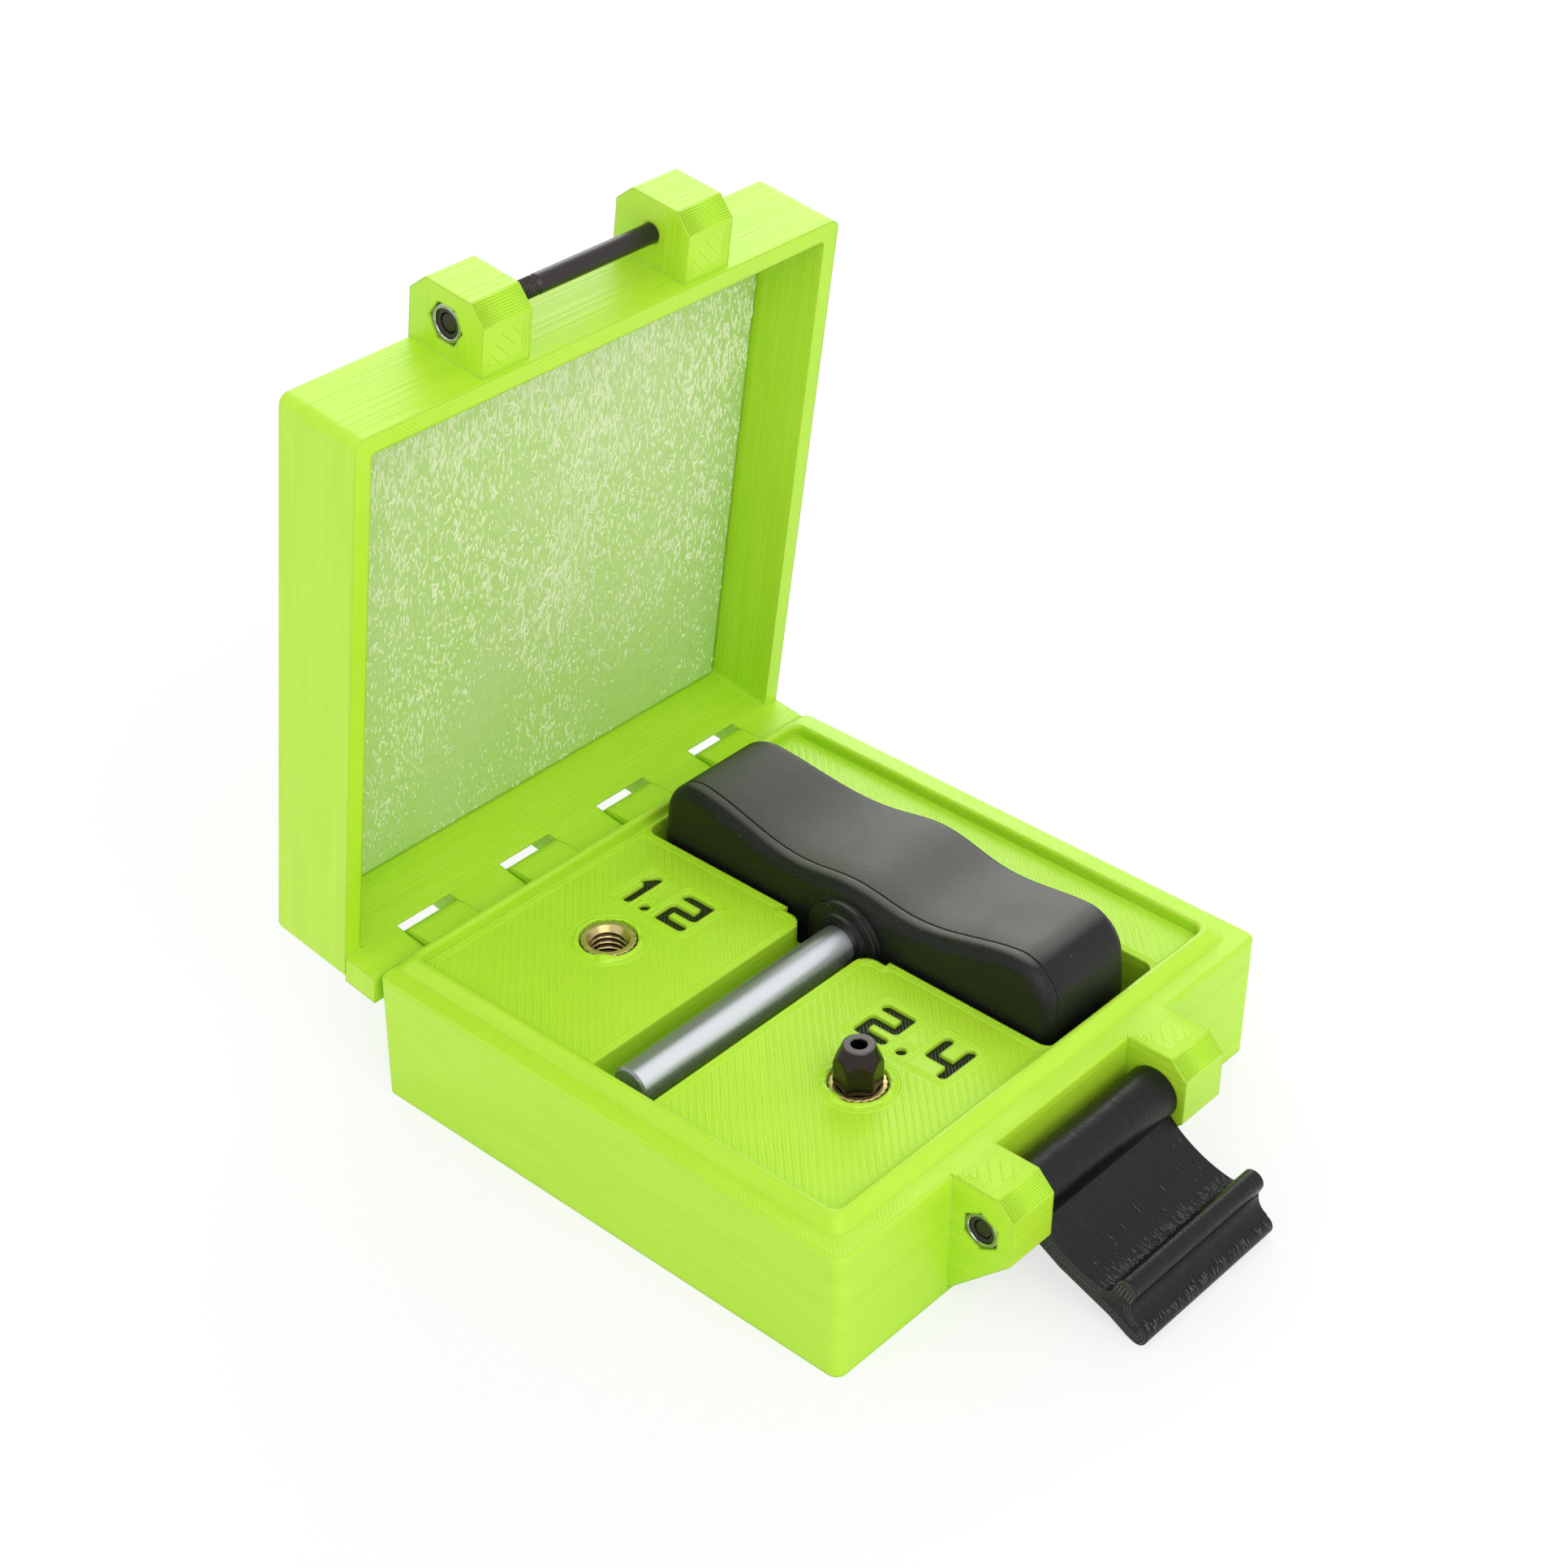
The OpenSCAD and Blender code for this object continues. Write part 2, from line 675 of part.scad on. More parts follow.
// Hexagon with a round collar on its outer side, bored for the screw and the locking ring.
module ear_nut(z) {
    color([0.75, 0.76, 0.78]) difference() {
        union() {
            hex_x(nut_x0 + nut_collar_h, nut_x0 + nut_h, screw_y, z, nut_af);
            bar_x(nut_x0, nut_x0 + nut_collar_h + eps, screw_y, z, nut_af / 2);
        }
        bar_x(nut_x0 - cut, nut_x0 + nut_h + cut, screw_y, z, nut_bore / 2);
        bar_x(nut_x0 - cut, nut_x0 + nut_collar_h, screw_y, z, nut_ring_r);
    }
}

module ear_nut_ring(z) {
    ring_thick = nut_collar_h - nut_ring_sink;
    color([0.2, 0.2, 0.22]) difference() {
        bar_x(nut_x0 + nut_collar_h - ring_thick, nut_x0 + nut_collar_h, screw_y, z, nut_ring_r - fit);
        bar_x(nut_x0 - cut, nut_x0 + nut_collar_h + cut, screw_y, z, nut_bore / 2);
    }
}

module latch_screw() {
    ear_screw(latch_z);
}

module latch_nut() {
    ear_nut(latch_z);
}

module latch_nut_ring() {
    ear_nut_ring(latch_z);
}

module catch_screw() {
    lid_open() ear_screw(catch_z);
}

module catch_nut() {
    lid_open() ear_nut(catch_z);
}

module catch_nut_ring() {
    lid_open() ear_nut_ring(catch_z);
}

// ---------- latch ----------

// Profile of the closed latch: x is the distance out from the line of the screws, y the height above
// the latch screw.
module latch_profile() {
    difference() {
        union() {
            difference() {
                polygon([[0, 0], [roll_r, 0], [arm_out, 9.5], [arm_out, ridge_u], [tab_v + tab_r, tab_u - 1],
                         [tab_v + tab_r, tab_u], [0.5, tab_u], [0.5, ridge_u], [0, hook_reach]]);
                translate([hollow_c, hollow_u]) circle(hollow_r, $fn = 128);
            }
            polygon(concat([[hollow_v, fillet_u], [hollow_v, hook_reach + eps]],
                           [for (i = [0 : fillet_steps]) let (a = 90 - i * (90 - fillet_a) / fillet_steps)
                               [fillet_v + (hook_fillet + eps) * cos(a),
                                fillet_u + (hook_fillet + eps) * sin(a)]]));
            circle(roll_r);
            translate([ridge_v, ridge_u]) circle(ridge_r);
            translate([ridge_v, hook_reach]) square([tab_v - ridge_v, 2 * ridge_r]);
            translate([tab_v, tab_u]) circle(tab_r);
        }
        translate([groove_v, groove_u]) circle(groove_r);
        translate([groove_v - groove_r, groove_u])
            square([tab_v + groove_r - groove_v - tab_r, 2 * groove_r]);
        circle(screw_d / 2 + run);
    }
}

module latch() {
    color([0.13, 0.13, 0.13]) translate([0, screw_y, latch_z]) rotate([90 + latch_hang, 0, 0])
        along_x(-latch_w / 2, latch_w / 2) mirror([1, 0]) latch_profile();
}

// ---------- lid ----------

// Outside of the closed lid's box, softened round its top, with the chamfer along the hinge side.
module lid_block() {
    wall_front = front_y + edge_soft;
    intersection() {
        hull() {
            translate([0, 0, rim_z]) linear_extrude(lid_top - rim_z - edge_soft)
                plan(base_w, front_y, wall_out_y, corner_r, $fn = hull_sides);
            translate([0, 0, rim_z]) linear_extrude(lid_top - rim_z)
                plan(base_w - 2 * edge_soft, wall_front, wall_out_y - edge_soft, corner_r - edge_soft,
                     $fn = hull_sides);
        }
        along_x(-base_w, base_w)
            polygon([[front_y - cut, rim_z - cut], [wall_out_y + cut, rim_z - cut],
                     [wall_out_y + cut, lid_top - lid_back_chamfer - cut],
                     [wall_out_y - lid_back_chamfer - cut, lid_top + cut], [front_y - cut, lid_top + cut]]);
    }
}

// Side profile of a lid knuckle: a flat-bottomed block with a rounded inner corner.
module lid_knuckle_profile() {
    low = hinge_z - knuckle_drop;
    translate([wall_in_y + knuckle_round, low]) square([hinge_wall - knuckle_round, rim_z - low + eps]);
    translate([wall_in_y, low + knuckle_round]) square([hinge_wall, rim_z - low - knuckle_round + eps]);
    translate([wall_in_y + knuckle_round, low + knuckle_round]) circle(knuckle_round);
}

// Side profile of a notch over a base knuckle: its top rises outwards at 45 degrees, so that the lid
// clears the knuckle's support as it opens.
module notch_profile() {
    top = base_h + notch_gap;
    polygon([[back_y, rim_z - cut], [wall_out_y + cut, rim_z - cut],
             [wall_out_y + cut, top + hinge_wall + cut], [wall_in_y, top], [back_y, top]]);
}

// Side profile of the lid's ears: chamfered at both outer edges.
module lid_ear_profile() {
    low = base_h + ear_rim_gap;
    polygon([[front_y + cut, low], [front_y - ear_out + ear_chamfer, low],
             [front_y - ear_out, low + ear_chamfer], [front_y - ear_out, lid_top - ear_chamfer],
             [front_y - ear_out + ear_chamfer, lid_top], [front_y + cut, lid_top]]);
}

module lid_shell() {
    cavity_w = base_w - 2 * lid_wall;
    color([0.6, 0.88, 0.12]) lid_open() difference() {
        union() {
            lid_block();
            for (s = [-ear_end, ear_x]) along_x(s, s + ear_w) lid_ear_profile();
            knuckle_slots(0, knuckle_gap) lid_knuckle_profile();
        }
        pit(rim_z - cut, plate_z - rim_z + cut) plan(cavity_w, front_y + lid_wall, wall_in_y, corner_r / 2);
        knuckle_slots(1, -knuckle_gap) notch_profile();
        ear_bores(catch_z);
        bar_x(pin_x0, base_w / 2 + cut, hinge_y, hinge_z, hinge_pin_d / 2 + fit);
    }
}

module foam_pad() {
    color([0.85, 0.92, 0.8]) lid_open() pit(foam_z, foam_t)
        plan(base_w - 2 * (lid_wall + foam_edge_gap), front_y + lid_wall + foam_edge_gap,
             wall_in_y - foam_edge_gap, corner_r / 2);
}

module hinge_pin() {
    color([0.75, 0.76, 0.78]) bar_x(pin_x0 + fit, pin_x1, hinge_y, hinge_z, hinge_pin_d / 2);
}

// ---------- tool ----------

// Half height of the grip at a distance y from its middle.
function grip_half(y) = let (a = abs(y))
    a < waist_y ? grip_waist + (grip_hump - grip_waist) * (0.5 + 0.5 * cos(180 * a / waist_y)) :
    a < crest_y ? grip_waist + (grip_crest - grip_waist) *
                  (0.5 - 0.5 * cos(180 * (a - waist_y) / (crest_y - waist_y))) : grip_crest;

// Upper outline of the grip in (y, z), from the middle of one end over the top to the other end.
grip_steps = 36;
corner_steps = 6;
flat_y = half_len - end_bulge - grip_corner;
side_z = grip_half(flat_y) - grip_corner;
grip_top = concat(
    [[half_len, 0], [half_len - end_bulge / 4, side_z / 2]],
    [for (i = [0 : corner_steps]) let (a = 90 * i / corner_steps)
        [flat_y + grip_corner * cos(a), side_z + grip_corner * sin(a)]],
    [for (i = [1 : grip_steps - 1]) let (y = flat_y * (1 - 2 * i / grip_steps)) [y, grip_half(y)]],
    [for (i = [0 : corner_steps]) let (a = 90 + 90 * i / corner_steps)
        [-flat_y + grip_corner * cos(a), side_z + grip_corner * sin(a)]],
    [[end_bulge / 4 - half_len, side_z / 2], [-half_len, 0]]);
top_n = len(grip_top);
grip_loop = concat(grip_top, [for (i = [top_n - 2 : -1 : 1]) [grip_top[i][0], -grip_top[i][1]]]);
loop_n = len(grip_loop);

// The outline moved in by a distance, along its normals.
function inset_loop(d) = [for (i = [0 : loop_n - 1])
    let (t = grip_loop[(i + 1) % loop_n] - grip_loop[(i + loop_n - 1) % loop_n])
    grip_loop[i] - d * [t[1], -t[0]] / norm(t)];

// Place of the rear surface at a distance y from the middle.
function rear_x(y) = seam_x + rear_t + rear_bow * (0.5 + 0.5 * cos(180 * min(1, abs(y) / half_len)));

// Cross-sections of the two halves, front to rear.
round_steps = 5;
front_rings = concat(
    [for (i = [0 : round_steps]) let (a = 90 * i / round_steps)
        [for (p = inset_loop(front_round * (1 - sin(a)))) [grip_x + front_round * (1 - cos(a)), p[0], p[1]]]],
    [[for (p = inset_loop(0)) [seam_x, p[0], p[1]]]]);
rear_rings = concat(
    [[for (p = inset_loop(0)) [seam_x, p[0], p[1]]]],
    [for (i = [0 : round_steps]) let (a = 90 * i / round_steps)
        [for (p = inset_loop(rear_round * (1 - cos(a))))
            [rear_x(p[0]) - rear_round * (1 - sin(a)), p[0], p[1]]]]);

// Number of the point of a ring that lies under the given point of its upper outline.
function under(j) = (loop_n - j) % loop_n;

// One strip across a ring's end cap, and the same strip seen from the other side.
function cap_face(j, at) = j == 0 ? [at, at + 1, at + under(1)] :
    j == top_n - 2 ? [at + j, at + j + 1, at + under(j)] :
    [at + j, at + j + 1, at + under(j + 1), at + under(j)];
function turned(face) = [for (i = [len(face) - 1 : -1 : 0]) face[i]];

// A closed solid through a list of rings, its two ends closed by strips across them.
module lofted(rings) {
    last = (len(rings) - 1) * loop_n;
    polyhedron(
        points = [for (ring = rings, p = ring) p],
        faces = concat(
            [for (r = [0 : len(rings) - 2], i = [0 : loop_n - 1]) let (k = (i + 1) % loop_n, a = r * loop_n)
                [a + i, a + loop_n + i, a + loop_n + k, a + k]],
            [for (j = [0 : top_n - 2]) cap_face(j, 0)],
            [for (j = [0 : top_n - 2]) turned(cap_face(j, last))]));
}

// Bores in the grip for the shaft and its locking pin.
module grip_bores() {
    bar_x(grip_x - boss_h - ring_h - cut, grip_x + shaft_in + fit, 0, 0, shaft_d / 2 + fit);
    translate([grip_x + lock_pin_x, -lock_pin_len / 2 - fit, 0]) rotate([-90, 0, 0])
        cylinder(d = lock_pin_d + 2 * fit, h = lock_pin_len + 2 * fit);
}

module at_tool() {
    translate([0, deck_y - tool_shift, tool_z]) children();
}

module grip_front() {
    color([0.17, 0.17, 0.17]) at_tool() difference() {
        union() {
            lofted(front_rings);
            bar_x(grip_x - boss_h, grip_x + eps, 0, 0, boss_r);
            bar_x(grip_x - boss_h - ring_h, grip_x, 0, 0, ring_r);
        }
        grip_bores();
    }
}

module grip_rear() {
    color([0.19, 0.19, 0.19]) at_tool() difference() {
        lofted(rear_rings);
        grip_bores();
    }
}

module shaft() {
    length = shaft_len + shaft_in;
    r = shaft_d / 2;
    color([0.8, 0.81, 0.83]) at_tool() difference() {
        translate([shaft_x0, 0, 0]) rotate([0, 90, 0]) rotate_extrude()
            polygon([[0, 0], [r - shaft_chamfer, 0], [r, shaft_chamfer], [r, length], [0, length]]);
        translate([grip_x + lock_pin_x, -shaft_d, 0]) rotate([-90, 0, 0])
            cylinder(d = lock_pin_d + 2 * fit, h = 2 * shaft_d);
    }
}

module lock_pin() {
    color([0.7, 0.7, 0.72]) at_tool() translate([grip_x + lock_pin_x, -lock_pin_len / 2, 0])
        rotate([-90, 0, 0]) cylinder(d = lock_pin_d, h = lock_pin_len);
}

base_shell();
mark_1_2();
mark_2_4();
insert_1_2();
insert_2_4();
latch_screw();
latch_nut();
latch_nut_ring();
latch();
lid_shell();
foam_pad();
catch_screw();
catch_nut();
catch_nut_ring();
hinge_pin();
grip_front();
grip_rear();
shaft();
lock_pin();
tip_2_4();
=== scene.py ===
import json
import math
import random

import bmesh
import bpy
from mathutils import Matrix, Vector, noise


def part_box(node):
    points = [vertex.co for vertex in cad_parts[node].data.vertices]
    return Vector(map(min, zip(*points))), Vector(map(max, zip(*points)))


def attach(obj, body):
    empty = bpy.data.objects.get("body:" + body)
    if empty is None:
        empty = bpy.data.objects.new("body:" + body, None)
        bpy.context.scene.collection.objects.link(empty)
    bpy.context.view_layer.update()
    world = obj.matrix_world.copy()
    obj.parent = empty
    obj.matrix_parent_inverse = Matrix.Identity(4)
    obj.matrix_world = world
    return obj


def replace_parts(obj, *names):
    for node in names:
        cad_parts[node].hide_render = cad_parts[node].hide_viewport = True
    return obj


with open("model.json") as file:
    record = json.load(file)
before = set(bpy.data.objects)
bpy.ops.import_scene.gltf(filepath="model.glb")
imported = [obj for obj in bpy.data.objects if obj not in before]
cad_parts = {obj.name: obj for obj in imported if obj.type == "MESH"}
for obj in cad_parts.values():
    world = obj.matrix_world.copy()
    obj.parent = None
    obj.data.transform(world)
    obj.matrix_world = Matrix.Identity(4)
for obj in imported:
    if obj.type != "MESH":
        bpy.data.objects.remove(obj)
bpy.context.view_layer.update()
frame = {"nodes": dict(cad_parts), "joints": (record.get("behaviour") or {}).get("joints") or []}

cad = frame["nodes"]


# ----------------------------------------------------------------------------
# The base: a square tray printed in lime green plastic, floor down, in layers of a quarter of a
# millimetre. Its walls show the layers, and its deck shows the diagonal lines of the last one,
# with a few lines laid round every hole.
# ----------------------------------------------------------------------------
mm = 0.001
same_point = 0.00001
sharp = 0.05
layer = 0.25
line_pitch = 1.13
lime = (0.47, 0.79, 0.020, 1.0)
edge_round = 0.0007


def add(mat, kind, **settings):
    """A new node in a material or in the world, with its settings and its unlinked inputs filled in."""
    new = mat.node_tree.nodes.new("ShaderNode" + kind)
    for name, value in settings.items():
        if name in new.inputs.keys():
            new.inputs[name].default_value = value
        else:
            setattr(new, name, value)
    return new


def wire(mat, start, end):
    """Joins an output to an input, both given as (node, name or number)."""
    mat.node_tree.links.new(start[0].outputs[start[1]], end[0].inputs[end[1]])


def maths(mat, operation, a, b=None, clamp=False):
    """A Math node on outputs or plain numbers."""
    new = add(mat, "Math", operation=operation, use_clamp=clamp)
    for i, value in enumerate([a, b]):
        if isinstance(value, tuple):
            wire(mat, value, (new, i))
        elif value is not None:
            new.inputs[i].default_value = value
    return (new, 0)


def blended(mat, factor, a, b):
    """A colour between a and b, each an output or a plain colour."""
    new = add(mat, "Mix", data_type="RGBA")
    wire(mat, factor, (new, 0))
    for i, value in ((6, a), (7, b)):
        if isinstance(value[0], bpy.types.Node):
            wire(mat, value, (new, i))
        else:
            new.inputs[i].default_value = value
    return (new, 2)


def weighted(mat, a, share_a, b, share_b, clamp=False):
    """The sum of two outputs, each taken by its share."""
    return maths(mat, "ADD", maths(mat, "MULTIPLY", a, share_a), maths(mat, "MULTIPLY", b, share_b), clamp)


def chosen(mat, factor, a, b):
    """A number between a and b, each an output."""
    new = add(mat, "Mix", data_type="FLOAT")
    for i, value in ((0, factor), (2, a), (3, b)):
        wire(mat, value, (new, i))
    return (new, 0)


def ramp(mat, value, low, high):
    """0 below low, 1 above high, smooth between them."""
    new = add(mat, "MapRange", interpolation_type="SMOOTHSTEP")
    new.inputs["From Min"].default_value = low
    new.inputs["From Max"].default_value = high
    wire(mat, value, (new, "Value"))
    return (new, 0)


def finish_material(name, colour, roughness, metallic=0.0, specular=0.5):
    """A material whose plain values sit on the shader's own sockets."""
    mat = bpy.data.materials.new(name)
    mat.use_nodes = True
    shader = mat.node_tree.nodes["Principled BSDF"]
    for socket, value in (("Base Color", colour), ("Roughness", roughness), ("Metallic", metallic),
                          ("Specular IOR Level", specular)):
        shader.inputs[socket].default_value = value
    return mat, shader


def part_coordinates(mat, tilt=0.0):
    """Place in millimetres and normal in the piece as it was printed; the lid is turned back by its tilt."""
    source = add(mat, "TexCoord")
    place = add(mat, "Mapping", vector_type="POINT", Rotation=(tilt, 0, 0), Scale=(1000, 1000, 1000))
    wire(mat, (source, "Object"), (place, 0))
    normal = add(mat, "Mapping", vector_type="NORMAL", Rotation=(tilt, 0, 0))
    wire(mat, (source, "Normal"), (normal, 0))
    return (place, 0), (normal, 0)


def streaks(mat, place, scale, detail=2.0):
    """Noise with so many lumps to the millimetre, the same all round or given for each axis."""
    scale = scale if isinstance(scale, tuple) else (scale, scale, scale)
    stretch = add(mat, "Mapping", vector_type="POINT", Scale=scale)
    wire(mat, place, (stretch, 0))
    new = add(mat, "TexNoise", Scale=1.0, Detail=detail, Roughness=0.55)
    wire(mat, (stretch, 0), (new, "Vector"))
    return (new, "Fac")


def ridges(mat, along, pitch, sharpness=0.5):
    """Rounded ridges side by side: 1 on their crests and 0 in the grooves between them."""
    wave = maths(mat, "ABSOLUTE", maths(mat, "SINE", maths(mat, "MULTIPLY", along, math.pi / pitch)))
    return maths(mat, "POWER", wave, sharpness)


def axes(mat, vector):
    """The three parts of a vector."""
    split = add(mat, "SeparateXYZ")
    wire(mat, vector, (split, 0))
    return (split, 0), (split, 1), (split, 2)


def relief(mat, shader, height, strength, depth, under=None):
    """Gives a surface its own fine relief, on top of another normal where one is given."""
    bump = add(mat, "Bump", Strength=strength, Distance=depth)
    wire(mat, height, (bump, "Height"))
    if under:
        wire(mat, under, (bump, "Normal"))
    wire(mat, (bump, 0), (shader, "Normal"))


def soft_edges_and_relief(mat, shader, height, strength, depth, radius):
    """Rounds the sharp edges of a print by a small radius, under the surface's own relief."""
    bevel = add(mat, "Bevel", Radius=radius, samples=6)
    relief(mat, shader, height, strength, depth, (bevel, 0))


def green_print(name, tilt=0.0):
    """Lime plastic laid in layers: ridged walls, and flats ruled on the diagonal."""
    mat, shader = finish_material(name, lime, 0.42)
    place, normal = part_coordinates(mat, tilt)
    x, y, z = axes(mat, place)
    flat = maths(mat, "GREATER_THAN", maths(mat, "ABSOLUTE", axes(mat, normal)[2]), 0.9)
    uneven = streaks(mat, place, (0.012, 0.012, 1.5), 1.5)
    wall = weighted(mat, ridges(mat, z, layer), 0.12, uneven, 1.4)
    wobble = maths(mat, "MULTIPLY", streaks(mat, place, 0.12), 1.2)
    across = maths(mat, "ADD", maths(mat, "SUBTRACT", x, y), wobble)
    weak = ramp(mat, streaks(mat, place, 0.09), 0.36, 0.62)
    rows = maths(mat, "MULTIPLY", ridges(mat, across, line_pitch * math.sqrt(2) / 2), weak)
    deck = weighted(mat, rows, 0.55, streaks(mat, place, 0.6, 3.0), 0.55)
    soft_edges_and_relief(mat, shader, chosen(mat, flat, wall, deck), 1.0, 0.00008, edge_round)
    cloud = weighted(mat, streaks(mat, place, (0.05, 0.05, 0.35)), 0.6,
                     streaks(mat, place, (0.01, 0.01, 2.6)), 0.5)
    pale = (lime[0] * 1.16, lime[1] * 1.06, 0.05, 1)
    deep = (lime[0] * 0.82, lime[1] * 0.90, 0.006, 1)
    wire(mat, blended(mat, cloud, deep, pale), (shader, "Base Color"))
    wire(mat, maths(mat, "ADD", maths(mat, "MULTIPLY", uneven, 0.2), 0.3), (shader, "Roughness"))
    return mat


def green_beads():
    """The same lime plastic on fine beads, whose own shape gives them their edges."""
    mat, shader = finish_material("lime beads", lime, 0.28)
    place = part_coordinates(mat)[0]
    relief(mat, shader, streaks(mat, place, 1.6, 3.0), 0.4, 0.00006)
    tint = blended(mat, streaks(mat, place, 0.2), (lime[0] * 0.9, lime[1] * 0.95, 0.012, 1),
                   (lime[0] * 1.1, lime[1] * 1.05, 0.035, 1))
    wire(mat, tint, (shader, "Base Color"))
    return mat


def dress(node, mat):
    """Gives a CAD node its finished material."""
    cad[node].data.materials.clear()
    cad[node].data.materials.append(mat)


def riding(name, mesh, mat, body):
    """A mesh as a smooth piece that rides on a body and is finished with the given material."""
    for face in mesh.polygons:
        face.use_smooth = True
    mesh.materials.clear()
    mesh.materials.append(mat)
    piece = bpy.data.objects.new(name, mesh)
    bpy.context.scene.collection.objects.link(piece)
    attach(piece, body)
    return piece


def new_piece(name, points, faces, mat, body):
    """A riding piece from points in metres."""
    mesh = bpy.data.meshes.new(name)
    mesh.from_pydata([tuple(p) for p in points], [], faces)
    mesh.validate()
    mesh.update()
    return riding(name, mesh, mat, body)


def laid_lines(name, lines, radius, mat, body, closed=False):
    """Rounded beads of plastic along lines of points in metres, half sunk in the surface under them."""
    curve = bpy.data.curves.new(name, "CURVE")
    curve.dimensions = "3D"
    curve.bevel_depth = radius * mm
    curve.bevel_resolution = 2
    curve.use_fill_caps = True
    for line in lines:
        spline = curve.splines.new("POLY")
        spline.points.add(len(line) - 1)
        for point, place in zip(spline.points, line):
            point.co = (place[0], place[1], place[2], 1)
        spline.use_cyclic_u = closed
    drawn = bpy.data.objects.new(name, curve)
    bpy.context.scene.collection.objects.link(drawn)
    mesh = bpy.data.meshes.new_from_object(drawn)
    bpy.data.objects.remove(drawn)
    return riding(name, mesh, mat, body)


def welded(node):
    """A copy of a node's mesh with its split corners joined again."""
    mesh = bmesh.new()
    mesh.from_mesh(cad[node].data)
    bmesh.ops.remove_doubles(mesh, verts=mesh.verts, dist=same_point)
    return mesh


def separate_boxes(node):
    """Boxes round the parts of a node that don't touch, each (centre, half size, corner radius)."""
    mesh = welded(node)
    boxes, seen = [], set()
    for first in mesh.verts:
        if first in seen:
            continue
        island, queue = [], [first]
        seen.add(first)
        while queue:
            v = queue.pop()
            island.append(v.co / mm)
            for edge in v.link_edges:
                other = edge.other_vert(v)
                if other not in seen:
                    seen.add(other)
                    queue.append(other)
        low = [min(p[i] for p in island) for i in (0, 1)]
        high = [max(p[i] for p in island) for i in (0, 1)]
        boxes.append((((low[0] + high[0]) / 2, (low[1] + high[1]) / 2),
                      ((high[0] - low[0]) / 2, (high[1] - low[1]) / 2), sharp))
    mesh.free()
    return boxes


# Holes in the deck, each (centre, half size, corner radius) in millimetres: the pocket, the relief for
# the boss, the trough, its flare in two steps, the inserts and the numerals.
insert_places, insert_clear = ((-18.2, 25.8), (-18.2, -22.6)), 4.9
deck_holes = [((18.05, 1.6), (10.55, 37.35), 2.0), ((5.0, 1.6), (0.5, 10.0), sharp),
              ((-17.85, 1.6), (23.3, 5.8), sharp), ((3.9, 1.6), (0.6, 6.5), sharp),
              ((4.3, 1.6), (0.2, 7.5), sharp)]
deck_holes += [(place, (0.0, 0.0), insert_clear) for place in insert_places]
deck_holes += separate_boxes("mark_1_2") + separate_boxes("mark_2_4")
bead_green = green_beads()
dress("base_shell", green_print("lime print of the base"))

# The upper chamfer of each ear climbs in ten layers, and each layer's edge shows as a bead.
ear_spans = [(-24.05, -15.1), (15.1, 24.05)]
ear_top, ear_face_y, ear_slope, wall_y = 21.2, -54.65, 2.75, -44.35
bead_round, bead_short = 0.165, 0.25
ear_layers = 10


def layer_beads(spans, lower, upper, out):
    """Rounded beads along X, stacked from lower to upper, both (y, z) in millimetres, and facing out."""
    points, faces = [], []
    arc = [math.radians(a) for a in range(-90, 91, 30)]
    for x0, x1 in spans:
        for i in range(ear_layers):
            t = (i + 0.5) / ear_layers
            y, z = lower[0] + (upper[0] - lower[0]) * t, lower[1] + (upper[1] - lower[1]) * t
            start = len(points)
            for x in (x0 + bead_short, x1 - bead_short):
                for a in arc:
                    lift, slide = math.cos(a), math.sin(a)
                    points.append(Vector((x, y + bead_round * (out[0] * lift - out[1] * slide),
                                          z + bead_round * (out[1] * lift + out[0] * slide))) * mm)
            n = len(arc)
            faces += [(start + k, start + k + 1, start + n + k + 1, start + n + k) for k in range(n - 1)]
            faces += [tuple(start + k for k in range(n)), tuple(start + n + k for k in reversed(range(n)))]
    return points, faces


half_root = math.sqrt(0.5)
bead_points, bead_faces = layer_beads(ear_spans, (ear_face_y, ear_top - ear_slope),
                                      (ear_face_y + ear_slope, ear_top), (-half_root, half_root))
new_piece("base_ear_layers", bead_points, bead_faces, bead_green, "base")

# The deck's last layer: short diagonal beads, and three lines round every hole and inside the border.
deck_low, deck_high = (-41.2, -38.55), (41.2, 41.75)
bead_radius, bead_rise = 0.30, 0.10
contour_gaps = (0.32, 0.78, 1.24)
border_corner = 1.5
infill_gap, infill_reach, infill_step, infill_sink = 1.6, 120.0, 0.4, 0.045
infill_rows, bead_steps, break_steps = 75, (8, 60), (1, 3)
gap_slack = 0.02
random.seed(24)


def clear_of(x, y):
    """Distance in millimetres from the nearest hole or border of the deck."""
    near = min(x - deck_low[0], deck_high[0] - x, y - deck_low[1], deck_high[1] - y)
    for centre, half, radius in deck_holes:
        dx, dy = max(0, abs(x - centre[0]) - half[0]), max(0, abs(y - centre[1]) - half[1])
        near = min(near, math.hypot(dx, dy) - radius)
    return near


def kept_runs(points, gap, z, fewest):
    """The stretches of a line that keep their distance from every hole, with more than the fewest points."""
    runs, run = [], []
    for x, y in points:
        if clear_of(x, y) >= gap - gap_slack:
            run.append((x * mm, y * mm, z * mm))
        else:
            runs.append(run)
            run = []
    runs.append(run)
    return [r for r in runs if len(r) > fewest]


